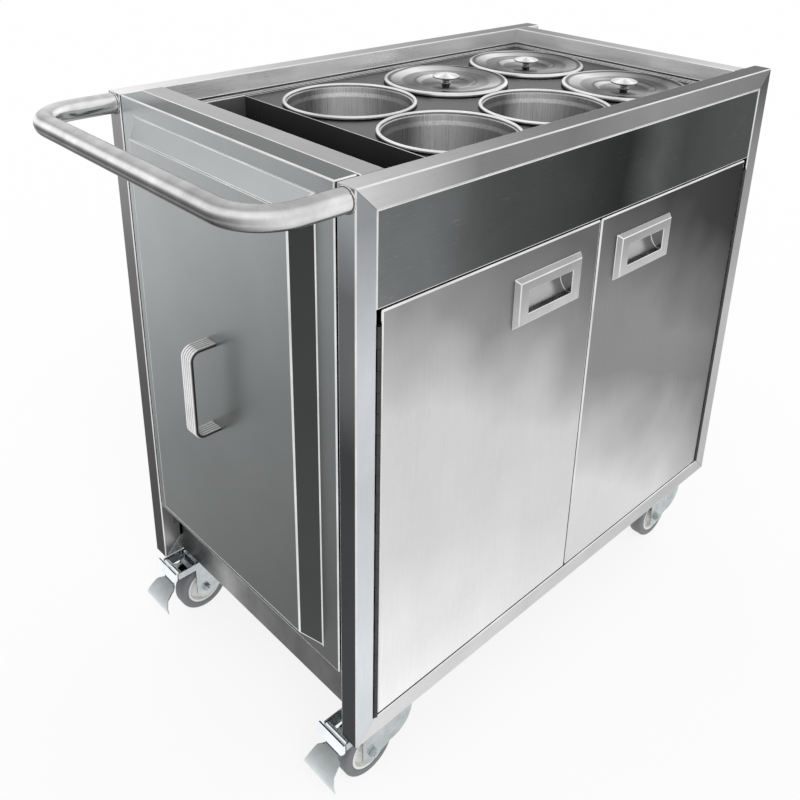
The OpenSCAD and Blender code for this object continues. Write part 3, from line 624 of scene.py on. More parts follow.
# Painted reflection and shade on the rails, changing along each rail and from face to face.
UPPER_FRONT_RAIL = Steel(
    "upper_front_rail_steel", Shade((1.0, 0.0, 0.0), 0.0, 0.95, (
        (0.0, 212), (0.2, 129), (0.4, 123), (0.6, 146), (1.0, 126))),
    even(140), even(198, 132, 107, 106, end=0.95), grain=Axis.X, cloud=0.08)
UPPER_REAR_RAIL = Steel(
    "upper_rear_rail_steel", even(254, 241, 206, end=0.95), even(140),
    even(234, 186, 140, 104, end=0.95), grain=Axis.X, metal=0.6, cloud=0.08)
LOWER_RAIL = Steel("lower_rail_steel", even(217, 184, end=0.95), even(110, 130), even(150),
                   grain=Axis.X, cloud=0.10)
LEFT_CROSS_RAIL = Steel("left_cross_rail_steel", even(150), even(140),
                        even(170, 186, axis=Axis.Y, end=0.55), grain=Axis.Y, cloud=0.10)
RIGHT_CROSS_RAIL = Steel(
    "right_cross_rail_steel", even(150), even(224, 228, 218, axis=Axis.Y, end=0.55),
    even(200, 122, axis=Axis.Y, start=0.06, end=0.50), grain=Axis.Y, metal=0.6, cloud=0.10)
# A painted highlight on the lower cross rails' sides, behind their middle.
LOWER_CROSS_RAIL = Steel(
    "lower_cross_rail_steel", even(150), Shade((0.0, 1.0, 0.0), 0.06, 0.50, (
        (0.0, 100), (0.6, 112), (0.72, 156), (0.86, 108), (1.0, 96))),
    even(150), grain=Axis.Y, cloud=0.26, patch=16.0)
# Its top slope is painted lighter than the fold along its top.
# Painted shade on the end panel's slopes at the posts, painted reflection lighter upwards and
# rearwards.
END_PANEL = Steel(
    "end_panel_steel", even(74, 57, axis=Axis.Z, start=0.25, end=0.96),
    Shade((0.0, 0.8, 1.0), 0.4, 1.35, ((0.0, 95), (0.40, 121), (1.0, 188))),
    Shade((0.0, 0.04, -1.0), -0.97, -0.90, ((0.0, 116), (0.3, 116), (0.36, 184), (1.0, 184))),
    tint=TEAL, metal=0.75, roughness=0.32, cloud=0.10, patch=4.0, streak=0.02, wander=0.003)
# Painted highlight on the raised strip and upstand, and painted shade darkening the deck to the
# front.
DECK = Steel(
    "deck_steel", even(120), even(130),
    Shade((0.0, 0.0, 1.0), 0.932, 0.942, ((0.0, 124), (0.25, 124), (0.35, 238), (1.0, 246))),
    painted_shade=even(214, 255, axis=Axis.Y, start=0.04, end=0.50), grain=Axis.X, cloud=0.10,
    streak=0.0, roughness=0.26, wander=0.0)
# Painted shade in the slot chute: near black low down, lighter towards the top.
CHUTE = Steel("chute_steel", even(50, 120, axis=Axis.Z, start=0.86, end=0.936),
              even(30, 76, axis=Axis.Z, start=0.86, end=0.936), even(120), metal=0.4, wander=0.0)
# Painted reflection on the push handle: dark underside and painted highlights over its sides.
PUSH_HANDLE = TubeSteel(
    "push_handle_steel", even(222), even(200), even(222, 255, axis=Axis.Y, end=0.55),
    grain=Axis.Y, roughness=0.20, cloud=0.24, patch=24.0, around=(
        (0.0, 40), (0.28, 54), (0.41, 142), (0.50, 92), (0.60, 132), (0.72, 254),
        (0.81, 250), (0.90, 178), (1.0, 206)))
# Painted reflection on the back and right end sheets: lighter low down, darker upwards.
BACK_SHEET = Steel(
    "back_sheet_steel", Shade((0.4, 0.0, 1.0), 0.2, 1.3, (
        (0.0, 222), (0.3, 205), (0.5, 176), (0.7, 140), (0.85, 120), (1.0, 132))),
    Shade((0.0, 0.5, 1.0), 0.2, 1.2, (
        (0.0, 218), (0.3, 196), (0.55, 160), (0.8, 126), (1.0, 134))),
    even(160), cloud=0.05)
INNER_SHEET = Steel("inner_sheet_steel", even(120, 138, 128, axis=Axis.Z),
                    even(118, 132, 122, axis=Axis.Z), even(140), cloud=0.08, roughness=0.36)
BIN_SHEET = Steel("bin_sheet_steel", even(118, 150, axis=Axis.Z), even(110, 146, axis=Axis.Z),
                  even(130), cloud=0.08, roughness=0.36)
# Painted shade on the door pulls: lighter at the top of the frame, darker low down.
PULL = Steel("pull_steel", even(198, 150, axis=Axis.Z, start=0.69, end=0.775),
             even(150), even(170), cloud=0.08, patch=22.0, roughness=0.24, wander=0.008)
# Fittings have their top faces painted lighter than their sides.
FITTING = Steel("fitting_steel", even(150), even(165), even(195), cloud=0.10, patch=30.0,
                roughness=0.24)
# Hinges are painted dark, as shade in the hinge line.
HINGE = Steel("hinge_steel", even(80, 72, axis=Axis.Z), even(70), even(90), cloud=0.16,
              patch=40.0)
# Painted highlights on the strap's ribs and painted shade in the grooves between them.
RIBS = Shade((0.0, 1.0, 0.0), 0.263, 0.287, tuple(
    (0.2 * rib + at, grey) for rib in range(5)
    for at, grey in ((0.0, 62), (0.03, 196), (0.10, 252), (0.17, 214))))
STRAP = Steel("strap_steel", RIBS, RIBS, RIBS, metal=0.5, cloud=0.12, patch=30.0,
              roughness=0.22, wander=0.0)
# Zinc plate with its tops painted lighter than its sides; the bluish tint is the plating's own.
ZINC = Steel("zinc_plated_steel", even(192), even(186), even(234), tint=ZINC_TINT,
             cloud=0.18, patch=50.0, streak=0.0, roughness=0.26)
# Painted light and shade on the pedals: pale tip, dark band at the bend, painted highlight on top.
PEDAL_GREYS = Shade((0.0, 0.0, 1.0), 0.052, 0.122, (
    (0.0, 226), (0.5, 146), (0.75, 249), (1.0, 254)))
PEDAL = Steel("pedal_steel", PEDAL_GREYS, PEDAL_GREYS, PEDAL_GREYS, tint=ZINC_TINT,
              cloud=0.10, patch=40.0, streak=0.0, roughness=0.22, wander=0.004)
# Near black painted shade for the brake leaf seen through the bracket's hole.
BRAKE_LEAF_SHADE = Steel("brake_leaf_painted_shade", even(30), even(26), even(24), cloud=0.20, patch=60.0,
             streak=0.0, roughness=0.45, wander=0.0)
# Bolts have their top faces painted lighter than their sides.
CASTER_BOLT = Steel("bolt_steel", even(190), even(180), even(210), cloud=0.12, patch=60.0,
                    streak=0.0, roughness=0.26)
HUB = Moulding("hub_plastic", (0.66, 0.68, 0.70), 0.42, 0.00001, 0.05, 0.15)
TYRE = Moulding("tyre_rubber", (0.165, 0.17, 0.18), 0.62, 0.00002, 0.10)
CATCH = Moulding("catch_plastic", (0.03, 0.03, 0.032), 0.40, 0.00001, 0.10)

# Painted reflection round the pots' walls: bright and dark bands by the turn round each pot.
WALL_STOPS: Stops = (
    (0.0, 150), (0.12, 188), (0.42, 112), (0.54, 158), (0.60, 203), (0.68, 220), (0.745, 118),
    (0.90, 106), (1.0, 150))
# Painted reflection on the lids: bright and dark lobes round each lid and across its ring.
LID_STOPS: Stops = (
    (0.0, 150), (0.19, 204), (0.35, 114), (0.44, 130), (0.64, 236), (0.88, 108), (1.0, 150))
# Painted bright lines and dark bands in rings across each lid.
LID_RINGS: Stops = (
    (0.0, 205), (0.36, 190), (0.40, 255), (0.455, 255), (0.475, 150), (0.52, 214), (0.66, 200),
    (0.70, 255), (0.84, 255), (0.88, 140), (0.90, 140), (0.92, 255), (1.0, 255))
RING_STOPS: Stops = (
    (0.0, 162), (0.08, 160), (0.10, 250), (0.27, 250), (0.29, 150), (0.40, 122), (0.62, 235),
    (0.86, 122), (1.0, 162))
# Painted highlights: bright blots round each knob's cap.
KNOB_STOPS: Stops = tuple((step / 10, 204 if step % 2 else 254) for step in range(11))


def pot_finish(name: str, x: float, y: float) -> Steel:
    """Gives a pot's finish, whose painted reflection greys run round its own axis.

    Args:
        name: Name of the pot.
        x: Place of its axis along the cart.
        y: Place of its axis across the cart.

    Returns:
        The finish.
    """
    wall = Fan(x, y, WALL_STOPS)
    # Painted reflection across the pot's base: a bright band near its middle.
    base = Shade((0.7, 0.7, 0.0), 0.7 * (x + y) - 0.09, 0.7 * (x + y) + 0.09, (
        (0.0, 120), (0.35, 168), (0.6, 214), (0.8, 190), (1.0, 150)))
    return Steel(name + "_steel", wall, wall, base, metal=0.4, cloud=0.10, patch=16.0,
                 streak=0.26, roughness=0.30, wander=0.010)


def lid_finish(name: str, x: float, y: float) -> Steel:
    """Gives a lid's finish, whose painted reflection greys run round its own axis.

    Args:
        name: Name of the piece.
        x: Place of its axis along the cart.
        y: Place of its axis across the cart.

    Returns:
        The finish.
    """
    ring = Fan(x, y, RING_STOPS)
    return Steel(name + "_steel", ring, ring, Fan(x, y, LID_STOPS, -1.2, LID_RINGS), cloud=0.10,
                 patch=24.0, streak=0.03, roughness=0.14, wander=0.006)


def knob_finish(name: str, x: float, y: float) -> Steel:
    """Gives a knob's finish: a stem in painted shade under a cap with painted highlights.

    Args:
        name: Name of the piece.
        x: Place of its axis along the cart.
        y: Place of its axis across the cart.

    Returns:
        The finish.
    """
    return Steel(name + "_steel", even(70), even(90), Fan(x, y, KNOB_STOPS), cloud=0.10,
                 patch=60.0, streak=0.0, roughness=0.12, wander=0.0)


# Mesh making


def verts_of(parts: Iterable[object]) -> list[bmesh.types.BMVert]:
    """Gives the vertices among the parts that an operator made."""
    return [part for part in parts if isinstance(part, bmesh.types.BMVert)]


def edges_of(parts: Iterable[object]) -> list[bmesh.types.BMEdge]:
    """Gives the edges among the parts that an operator made."""
    return [part for part in parts if isinstance(part, bmesh.types.BMEdge)]


class Form:
    """A mesh under construction, whose face material 0 is its finish and 1 its painted edge
    highlight.
    """

    def __init__(self) -> None:
        """Starts an empty mesh."""
        self.bm = bmesh.new()

    def block(self, low: Vector, high: Vector) -> list[bmesh.types.BMVert]:
        """Adds a box.

        Args:
            low: Lowest corner.
            high: Highest corner.

        Returns:
            Its corners.
        """
        made = bmesh.ops.create_cube(self.bm, size=1.0)["verts"]
        bmesh.ops.scale(self.bm, vec=high - low, verts=made)
        bmesh.ops.translate(self.bm, vec=(low + high) / 2, verts=made)
        return made

    def side(self, axis: Axis, value: float) -> list[bmesh.types.BMFace]:
        """Gives the faces that lie flat at a value of an axis."""
        return [face for face in self.bm.faces
                if all(abs(vert.co[axis.value] - value) < NEAR for vert in face.verts)]

    def edges(self, axis: Axis) -> list[bmesh.types.BMEdge]:
        """Gives the edges that run along an axis."""
        return [edge for edge in self.bm.edges
                if abs((edge.verts[1].co - edge.verts[0].co).normalized()[axis.value]) > 0.999]

    def corners(self, least: float = radians(40)) -> list[bmesh.types.BMEdge]:
        """Gives the edges where two faces meet at more than an angle."""
        return [edge for edge in self.bm.edges
                if len(edge.link_faces) == 2 and edge.calc_face_angle(0.0) > least]

    def rounded(self, edges: Edges, radius: float, steps: int = 3, bright: bool = True) -> None:
        """Rounds edges off.

        Args:
            edges: The edges.
            radius: Distance from the edge at which the rounding starts.
            steps: Number of faces across the rounding.
            bright: Whether the rounding gets the painted edge highlight.
        """
        made = bmesh.ops.bevel(self.bm, geom=list(edges), offset=radius, offset_type="OFFSET",
                               segments=steps, profile=0.5, affect="EDGES", material=-1,
                               clamp_overlap=True, loop_slide=True)
        for face in made["faces"]:
            face.material_index = 1 if bright else face.material_index

    def cut(self, point: Vector, normal: Vector, clear: bool = False,
            faces: Optional[Faces] = None) -> list[bmesh.types.BMEdge]:
        """Cuts by a plane.

        Args:
            point: A point of the plane.
            normal: Its normal.
            clear: Whether what lies on the normal's side goes away.
            faces: The faces to cut, or all of them.

        Returns:
            The edges in the plane.
        """
        if faces is None:
            geom = [*self.bm.verts, *self.bm.edges, *self.bm.faces]
        else:
            faces = list(faces)
            geom = [*{v for f in faces for v in f.verts}, *{e for f in faces for e in f.edges},
                    *faces]
        made = bmesh.ops.bisect_plane(self.bm, geom=geom, dist=NEAR / 10, plane_co=point,
                                      plane_no=normal, clear_outer=clear)
        return edges_of(made["geom_cut"])

    def window(self, axis: Axis, value: float, low: Vector,
               high: Vector) -> list[bmesh.types.BMFace]:
        """Cuts a rectangle into the faces that lie flat at a value of an axis.

        Args:
            axis: The axis.
            value: The value.
            low: Lowest corner of the rectangle.
            high: Its highest corner.

        Returns:
            The faces inside the rectangle.
        """
        across = [other for other in Axis if other is not axis]
        for other in across:
            for point in (low, high):
                self.cut(point, Vector(other.way()), faces=self.side(axis, value))
        return [face for face in self.side(axis, value)
                if all(low[other.value] < face.calc_center_median()[other.value] < high[other.value]
                       for other in across)]

    def mitre(self, point: Vector, normal: Vector, seam: float) -> None:
        """Cuts an end off slantwise, closes it and leaves a fine seam round it.

        Args:
            point: A point of the mitre.
            normal: Its normal, which points off the piece.
            seam: Width of the seam's slope.
        """
        cap = bmesh.ops.edgeloop_fill(self.bm, edges=self.cut(point, normal, True))["faces"]
        rim = {edge for face in cap for edge in face.edges}
        self.rounded(rim, seam, 1, False)

    def turned(self, profile: Profile, centre: Vector, axis: Axis, steps: int) -> None:
        """Turns a profile about an axis.

        Args:
            profile: Points of radius and height along the axis.
            centre: A point of the axis, where the height is 0.
            axis: The axis.
            steps: Number of faces round the turn.
        """
        up = Vector(axis.way())
        out = Vector((Axis.X if axis is Axis.Z else Axis.Z).way())
        verts = [self.bm.verts.new(centre + out * r + up * h) for r, h in profile]
        lines = [self.bm.edges.new(pair) for pair in zip(verts, verts[1:])]
        bmesh.ops.spin(self.bm, geom=verts + lines, cent=centre, axis=up, angle=2 * pi,
                       steps=steps, use_merge=True, use_duplicate=False)
        bmesh.ops.remove_doubles(self.bm, verts=self.bm.verts, dist=NEAR)
        bmesh.ops.recalc_face_normals(self.bm, faces=self.bm.faces)

    def paint_highlight(self, at: Vector, height: float, radius: float) -> None:
        """Gives a turned piece's faces the painted edge highlight above a height and beyond a
        radius.

        Args:
            at: Point of its upright axis where the height is 0.
            height: The height.
            radius: The radius.
        """
        for face in self.bm.faces:
            middle = face.calc_center_median() - at
            if middle.z > height and middle.xy.length > radius:
                face.material_index = 1

    def copied(self, node: str) -> None:
        """Adds a merged copy of a CAD node's mesh.

        Args:
            node: The CAD node.
        """
        self.bm.from_mesh(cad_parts[node].data)
        bmesh.ops.remove_doubles(self.bm, verts=self.bm.verts, dist=NEAR)
        bmesh.ops.dissolve_limit(self.bm, angle_limit=radians(0.6), verts=self.bm.verts,
                                 edges=self.bm.edges, use_dissolve_boundaries=False)


@dataclass(frozen=True)
class Dress:
    """What a finished piece is called, rides on and looks like.

    Attributes:
        name: Name of the piece.
        body: CAD body that it rides on.
        slot: Material slot of the record; not used.
        finish: Main finish.
        replaces: CAD nodes that it stands for.
        wall: Thickness that a shell gets on its inner side, or 0.
        smooth: Angle above which edges stay sharp.
        edge: Finish of the rounded edges, a painted highlight.
    """

    name: str
    body: str
    slot: Slot
    finish: Finish
    replaces: tuple[str, ...]
    wall: float = 0.0
    smooth: float = radians(50)
    edge: Finish = PAINTED_EDGE_HIGHLIGHT

    def put_on(self, form: Form) -> bpy.types.Object:
        """Makes the finished piece.

        Args:
            form: Its mesh, which is used up.

        Returns:
            The piece's object.
        """
        mesh = bpy.data.meshes.new(self.name)
        form.bm.to_mesh(mesh)
        form.bm.free()
        for face in mesh.polygons:
            face.use_smooth = True
        mesh.set_sharp_from_angle(angle=self.smooth)
        mesh.materials.append(material(self.finish))
        mesh.materials.append(material(self.edge))
        piece = bpy.data.objects.new(self.name, mesh)
        bpy.context.scene.collection.objects.link(piece)
        if self.wall:
            shell = piece.modifiers.new("sheet_thickness", "SOLIDIFY")
            shell.thickness = self.wall
            shell.offset = -1.0
            shell.use_even_offset = True
        even_out = piece.modifiers.new("even_normals", "WEIGHTED_NORMAL")
        even_out.keep_sharp = True
        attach(piece, self.body)
        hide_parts(*self.replaces)
        log.info("%s: %d faces, stands for %s", self.name, len(mesh.polygons),
                 ", ".join(self.replaces))
        return piece


def softened(node: str, body: str, slot: Slot, finish: Finish, radius: float = 0.0006,
             steps: int = 2, least: float = radians(40), bright: bool = True,
             smooth: float = radians(38)) -> bpy.types.Object:
    """Stands a copy of a CAD node with its sharp edges rounded in for the node.

    Args:
        node: The CAD node.
        body: CAD body that it rides on.
        slot: Material slot of the record.
        finish: Finish.
        radius: Size of the rounding.
        steps: Number of faces across the rounding.
        least: Angle above which an edge is rounded.
        bright: Whether the rounding gets the painted edge highlight.
        smooth: Angle above which edges stay sharp.

    Returns:
        The piece's object.
    """
    form = Form()
    form.copied(node)
    form.rounded(form.corners(least), radius, steps, bright)
    return Dress(node + "_softened", body, slot, finish, (node,), smooth=smooth).put_on(form)


def dressed(finish: Finish, *nodes: str) -> None:
    """Gives CAD nodes that stay as they are a finish.

    Args:
        finish: Finish.
        nodes: The CAD nodes.
    """
    for node in nodes:
        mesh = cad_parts[node].data
        mesh.materials.clear()
        mesh.materials.append(material(finish))
        log.info("%s keeps its CAD shape in %s", node, finish.name)


def arc(centre: tuple[float, float], radius: float, start: float, end: float,
        steps: int) -> list[tuple[float, float]]:
    """Gives points of an arc in a profile.

    Args:
        centre: Its centre.
        radius: Its radius.
        start: Angle of its first point in degrees, from the first coordinate's direction.
        end: Angle of its last point.
        steps: Number of steps.

    Returns:
        The points.
    """
    angles = [radians(start + (end - start) * index / steps) for index in range(steps + 1)]
    return [(centre[0] + radius * cos(a), centre[1] + radius * sin(a)) for a in angles]


# Sub-assemblies


@dataclass
class TubeFrame:
    """Mitred square-tube frame: four posts, four long rails and four cross rails.

    Attributes:
        corner: Outside corner radius of the tube.
        seam: Width of the slope at a mitre seam.
        cross_w: Width of the cross rails.
        cross_low_h: Height of the lower cross rails.
    """

    corner: float = 0.0017
    seam: float = 0.0005
    cross_w: float = 0.036
    cross_low_h: float = 0.064

    def build(self) -> None:
        """Builds every tube of the frame."""
        for node, finish in (("front_left_post", FRONT_LEFT_POST),
                             ("front_right_post", FRONT_RIGHT_POST),
                             ("rear_left_post", REAR_POST), ("rear_right_post", REAR_POST)):
            self.post(node, finish)
        low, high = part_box("long_rails")
        for level, row, y0 in (("upper", "front", low.y), ("upper", "rear", high.y - TUBE),
                               ("lower", "front", low.y), ("lower", "rear", high.y - TUBE)):
            self.long_rail(level, row, y0)
        self.cross_rails()

    def post(self, node: str, finish: Steel) -> None:
        """Builds a post with a mitre at both ends.

        Args:
            node: Its CAD node.
            finish: Its finish.
        """
        low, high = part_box(node)
        form = Form()
        form.block(low, high)
        form.rounded(form.edges(Axis.Z), self.corner)
        inward = 1.0 if "left" in node else -1.0
        outer = low.x if inward > 0 else high.x
        for z, down in ((low.z, -1.0), (high.z, 1.0)):
            form.mitre(Vector((outer, 0.0, z)), Vector((inward, 0.0, down)), self.seam)
        Dress(node + "_tube", "cart", Slot.FRAME, finish, (node,)).put_on(form)

    def long_rail(self, level: str, row: str, y0: float) -> None:
        """Builds a rail along the cart with a mitre at both ends.

        Args:
            level: Upper or lower.
            row: Front or rear.
            y0: Its front face.
        """
        low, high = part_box("long_rails")
        upper = level == "upper"
        z0 = high.z - TUBE if upper else low.z
        outer_z = high.z if upper else low.z
        form = Form()
        form.block(Vector((low.x, y0, z0)), Vector((high.x, y0 + TUBE, z0 + TUBE)))
        form.rounded(form.edges(Axis.X), self.corner)
        for x, side in ((low.x, -1.0), (high.x, 1.0)):
            normal = Vector((side, 0.0, -1.0 if upper else 1.0))
            form.mitre(Vector((x, 0.0, outer_z)), normal, self.seam)
        finish = LOWER_RAIL
        if upper:
            finish = UPPER_FRONT_RAIL if row == "front" else UPPER_REAR_RAIL
        Dress(f"{level}_{row}_rail", "cart", Slot.FRAME, finish, ("long_rails",)).put_on(form)

    def cross_rails(self) -> None:
        """Builds the four rails across the cart."""
        low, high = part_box("end_cross_rails")
        for side, x0, upper in (("left", low.x, LEFT_CROSS_RAIL),
                                ("right", high.x - self.cross_w, RIGHT_CROSS_RAIL)):
            for level, z0, z1, finish in (
                    ("upper", high.z - TUBE, high.z, upper),
                    ("lower", low.z, low.z + self.cross_low_h, LOWER_CROSS_RAIL)):
                form = Form()
                form.block(Vector((x0, low.y, z0)), Vector((x0 + self.cross_w, high.y, z1)))
                form.rounded(form.edges(Axis.Y), self.corner)
                Dress(f"{level}_{side}_cross_rail", "cart", Slot.FRAME, finish,
                      ("end_cross_rails",)).put_on(form)


@dataclass
class Tray:
    """Sheet folded at its four sides, open behind.

    Attributes:
        node: CAD node, whose box it fills.
        axis: Axis that its face looks along.
        face: End of the box at which its face lies.
        dress: Name, body, finish and wall of the piece.
        fold: Outside radius of its folds.
        depth: Depth of the folded sides, or None for the whole box.
    """

    node: str
    axis: Axis
    face: End
    dress: Dress
    fold: float = 0.002
    depth: Optional[float] = None

    def shell(self) -> Form:
        """Makes the tray's outer surface, with its edges still sharp."""
        low, high = (corner.copy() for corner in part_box(self.node))
        at = self.axis.value
        if self.depth is not None and self.face is End.LOW:
            high[at] = low[at] + self.depth
        if self.depth is not None and self.face is End.HIGH:
            low[at] = high[at] - self.depth
        form = Form()
        form.block(low, high)
        back = high[at] if self.face is End.LOW else low[at]
        bmesh.ops.delete(form.bm, geom=form.side(self.axis, back), context="FACES_ONLY")
        return form

    def build(self) -> bpy.types.Object:
        """Builds the tray."""
        form = self.shell()
        form.rounded(form.corners(), self.fold)
        return self.dress.put_on(form)


@dataclass
class Carcass:
    """Folded sheets that close the frame, and the plain ones inside it.

    Attributes:
        wall: Thickness of the folded sheets.
        apron_depth: Depth of the folded sides of the panel over the doors.
    """

    wall: float = 0.0012
    apron_depth: float = 0.020

    def build(self) -> None:
        """Builds the sheets."""
        for node, axis, face, finish, depth in (
                ("front_apron", Axis.Y, End.LOW, APRON, self.apron_depth),
                ("back_panel", Axis.Y, End.HIGH, BACK_SHEET, None),
                ("right_end_panel", Axis.X, End.HIGH, BACK_SHEET, None),
                ("floor_panel", Axis.Z, End.HIGH, INNER_SHEET, None),
                ("mid_shelf", Axis.Z, End.HIGH, INNER_SHEET, None)):
            dress = Dress(node + "_folded", "cart", Slot.SHEET, finish, (node,), self.wall)
            Tray(node, axis, face, dress, depth=depth).build()
        dressed(INNER_SHEET, "bay_liner", "shelf_supports")


@dataclass
class Door:
    """Hinged door: shell with a hole for the pull, inner liner, flush pull and hinge leaf.

    Attributes:
        side: Left or right.
        finish: Finish of the shell.
        skin: Thickness of its sheet.
        fold: Outside radius of its folds.
        rim_x: Width of the pull's frame beside the hole.
        rim_z: Width of the pull's frame over and under the hole.
    """

    side: str
    finish: Steel
    skin: float = 0.001
    fold: float = 0.0028
    rim_x: float = 0.0235
    rim_z: float = 0.019

    def build(self) -> None:
        """Builds the door's pieces."""
        node = f"{self.side}_door_shell"
        body = f"{self.side}_door"
        dress = Dress(f"{self.side}_door_face", body, Slot.SHEET, self.finish, (node,), self.skin)
        form = Tray(node, Axis.Y, End.LOW, dress).shell()
        form.rounded(form.corners(), self.fold)
        self.open_face(form)
        dress.put_on(form)
        softened(f"{self.side}_door_pull", body, Slot.FITTING, PULL, 0.0011, 3)
        softened(f"{self.side}_door_leaf", body, Slot.FITTING, HINGE, 0.0003, 1,
                 radians(60), False)
        dressed(INNER_SHEET, f"{self.side}_door_liner")

    def open_face(self, form: Form) -> None:
        """Cuts the hole behind the pull.

        Args:
            form: The door's shell.
        """
        low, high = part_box(f"{self.side}_door_pull")
        margin = Vector((self.rim_x, 0.0, self.rim_z))
        low, high = low + margin, high - margin
        face_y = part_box(f"{self.side}_door_shell")[0].y
        hole = form.window(Axis.Y, face_y, low, high)
        bmesh.ops.delete(form.bm, geom=hole, context="FACES_ONLY")


@dataclass
class EndPanel:
    """Raised front of the pull-out bin, with its ribbed strap handle.

    Attributes:
        margin_y: Flat margin at the posts.
        margin_z: Flat margin at the top and bottom.
        raise_by: Distance that its middle stands out.
        skin: Thickness of its sheet.
        fold: Outside radius of its folds.
        bend: Outside radius of the bends round the raised middle.
        crease: Radius of the bends where its slopes start.
    """

    margin_y: float = 0.035
    margin_z: float = 0.024
    raise_by: float = 0.023
    skin: float = 0.0012
    fold: float = 0.0022
    bend: float = 0.0018
    crease: float = 0.00126

    def build(self) -> None:
        """Builds the panel and its handle, and dresses the bin behind it."""
        low, high = (corner.copy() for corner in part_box("end_panel"))
        low.x += self.raise_by
        form = Form()
        form.block(low, high)
        bmesh.ops.delete(form.bm, geom=form.side(Axis.X, high.x), context="FACES_ONLY")
        form.rounded(form.corners(), self.fold)
        inner_low = low + Vector((0.0, self.margin_y, self.margin_z))
        inner_high = high - Vector((0.0, self.margin_y, self.margin_z))
        middle = form.window(Axis.X, low.x, inner_low, inner_high)
        bmesh.ops.inset_region(form.bm, faces=middle, thickness=self.raise_by,
                               depth=self.raise_by, use_even_offset=True)
        crown = {edge for face in form.side(Axis.X, low.x - self.raise_by) for edge in face.edges}
        slopes = {edge for edge in form.bm.edges
                  if abs(edge.verts[0].co.x - edge.verts[1].co.x) > self.raise_by / 2
                  and low.y + NEAR < edge.verts[0].co.y < high.y - NEAR
                  and low.z + NEAR < edge.verts[0].co.z < high.z - NEAR
                  and min(v.co.x for v in edge.verts) < low.x - NEAR}
        form.rounded(crown | slopes, self.bend)
        form.rounded(self.foot(form, low.x, inner_low, inner_high), self.crease, 2)
        Dress("raised_end_panel", "pullout", Slot.SHEET, END_PANEL, ("end_panel",),
              self.skin).put_on(form)
        softened("strap_handle", "pullout", Slot.FITTING, STRAP, 0.0004, 2, radians(70))
        dressed(BIN_SHEET, "pullout_bin")
        dressed(FITTING, "slide_inner_rails")

    def foot(self, form: Form, x: float, low: Vector, high: Vector) -> Edges:
        """Gives the edges where the slopes rise from the flat margin.

        Args:
            form: The panel.
            x: Place of the margin.
            low: Lowest corner of the raised middle.
            high: Its highest corner.

        Returns:
            The edges.
        """
        found = []
        for edge in form.bm.edges:
            middle = (edge.verts[0].co + edge.verts[1].co) / 2
            if any(abs(vert.co.x - x) > NEAR for vert in edge.verts):
                continue
            for at, other in ((1, 2), (2, 1)):
                lined = any(all(abs(vert.co[at] - limit[at]) < NEAR for vert in edge.verts)
                            for limit in (low, high))
                if lined and low[other] < middle[other] < high[other]:
                    found.append(edge)
        return found


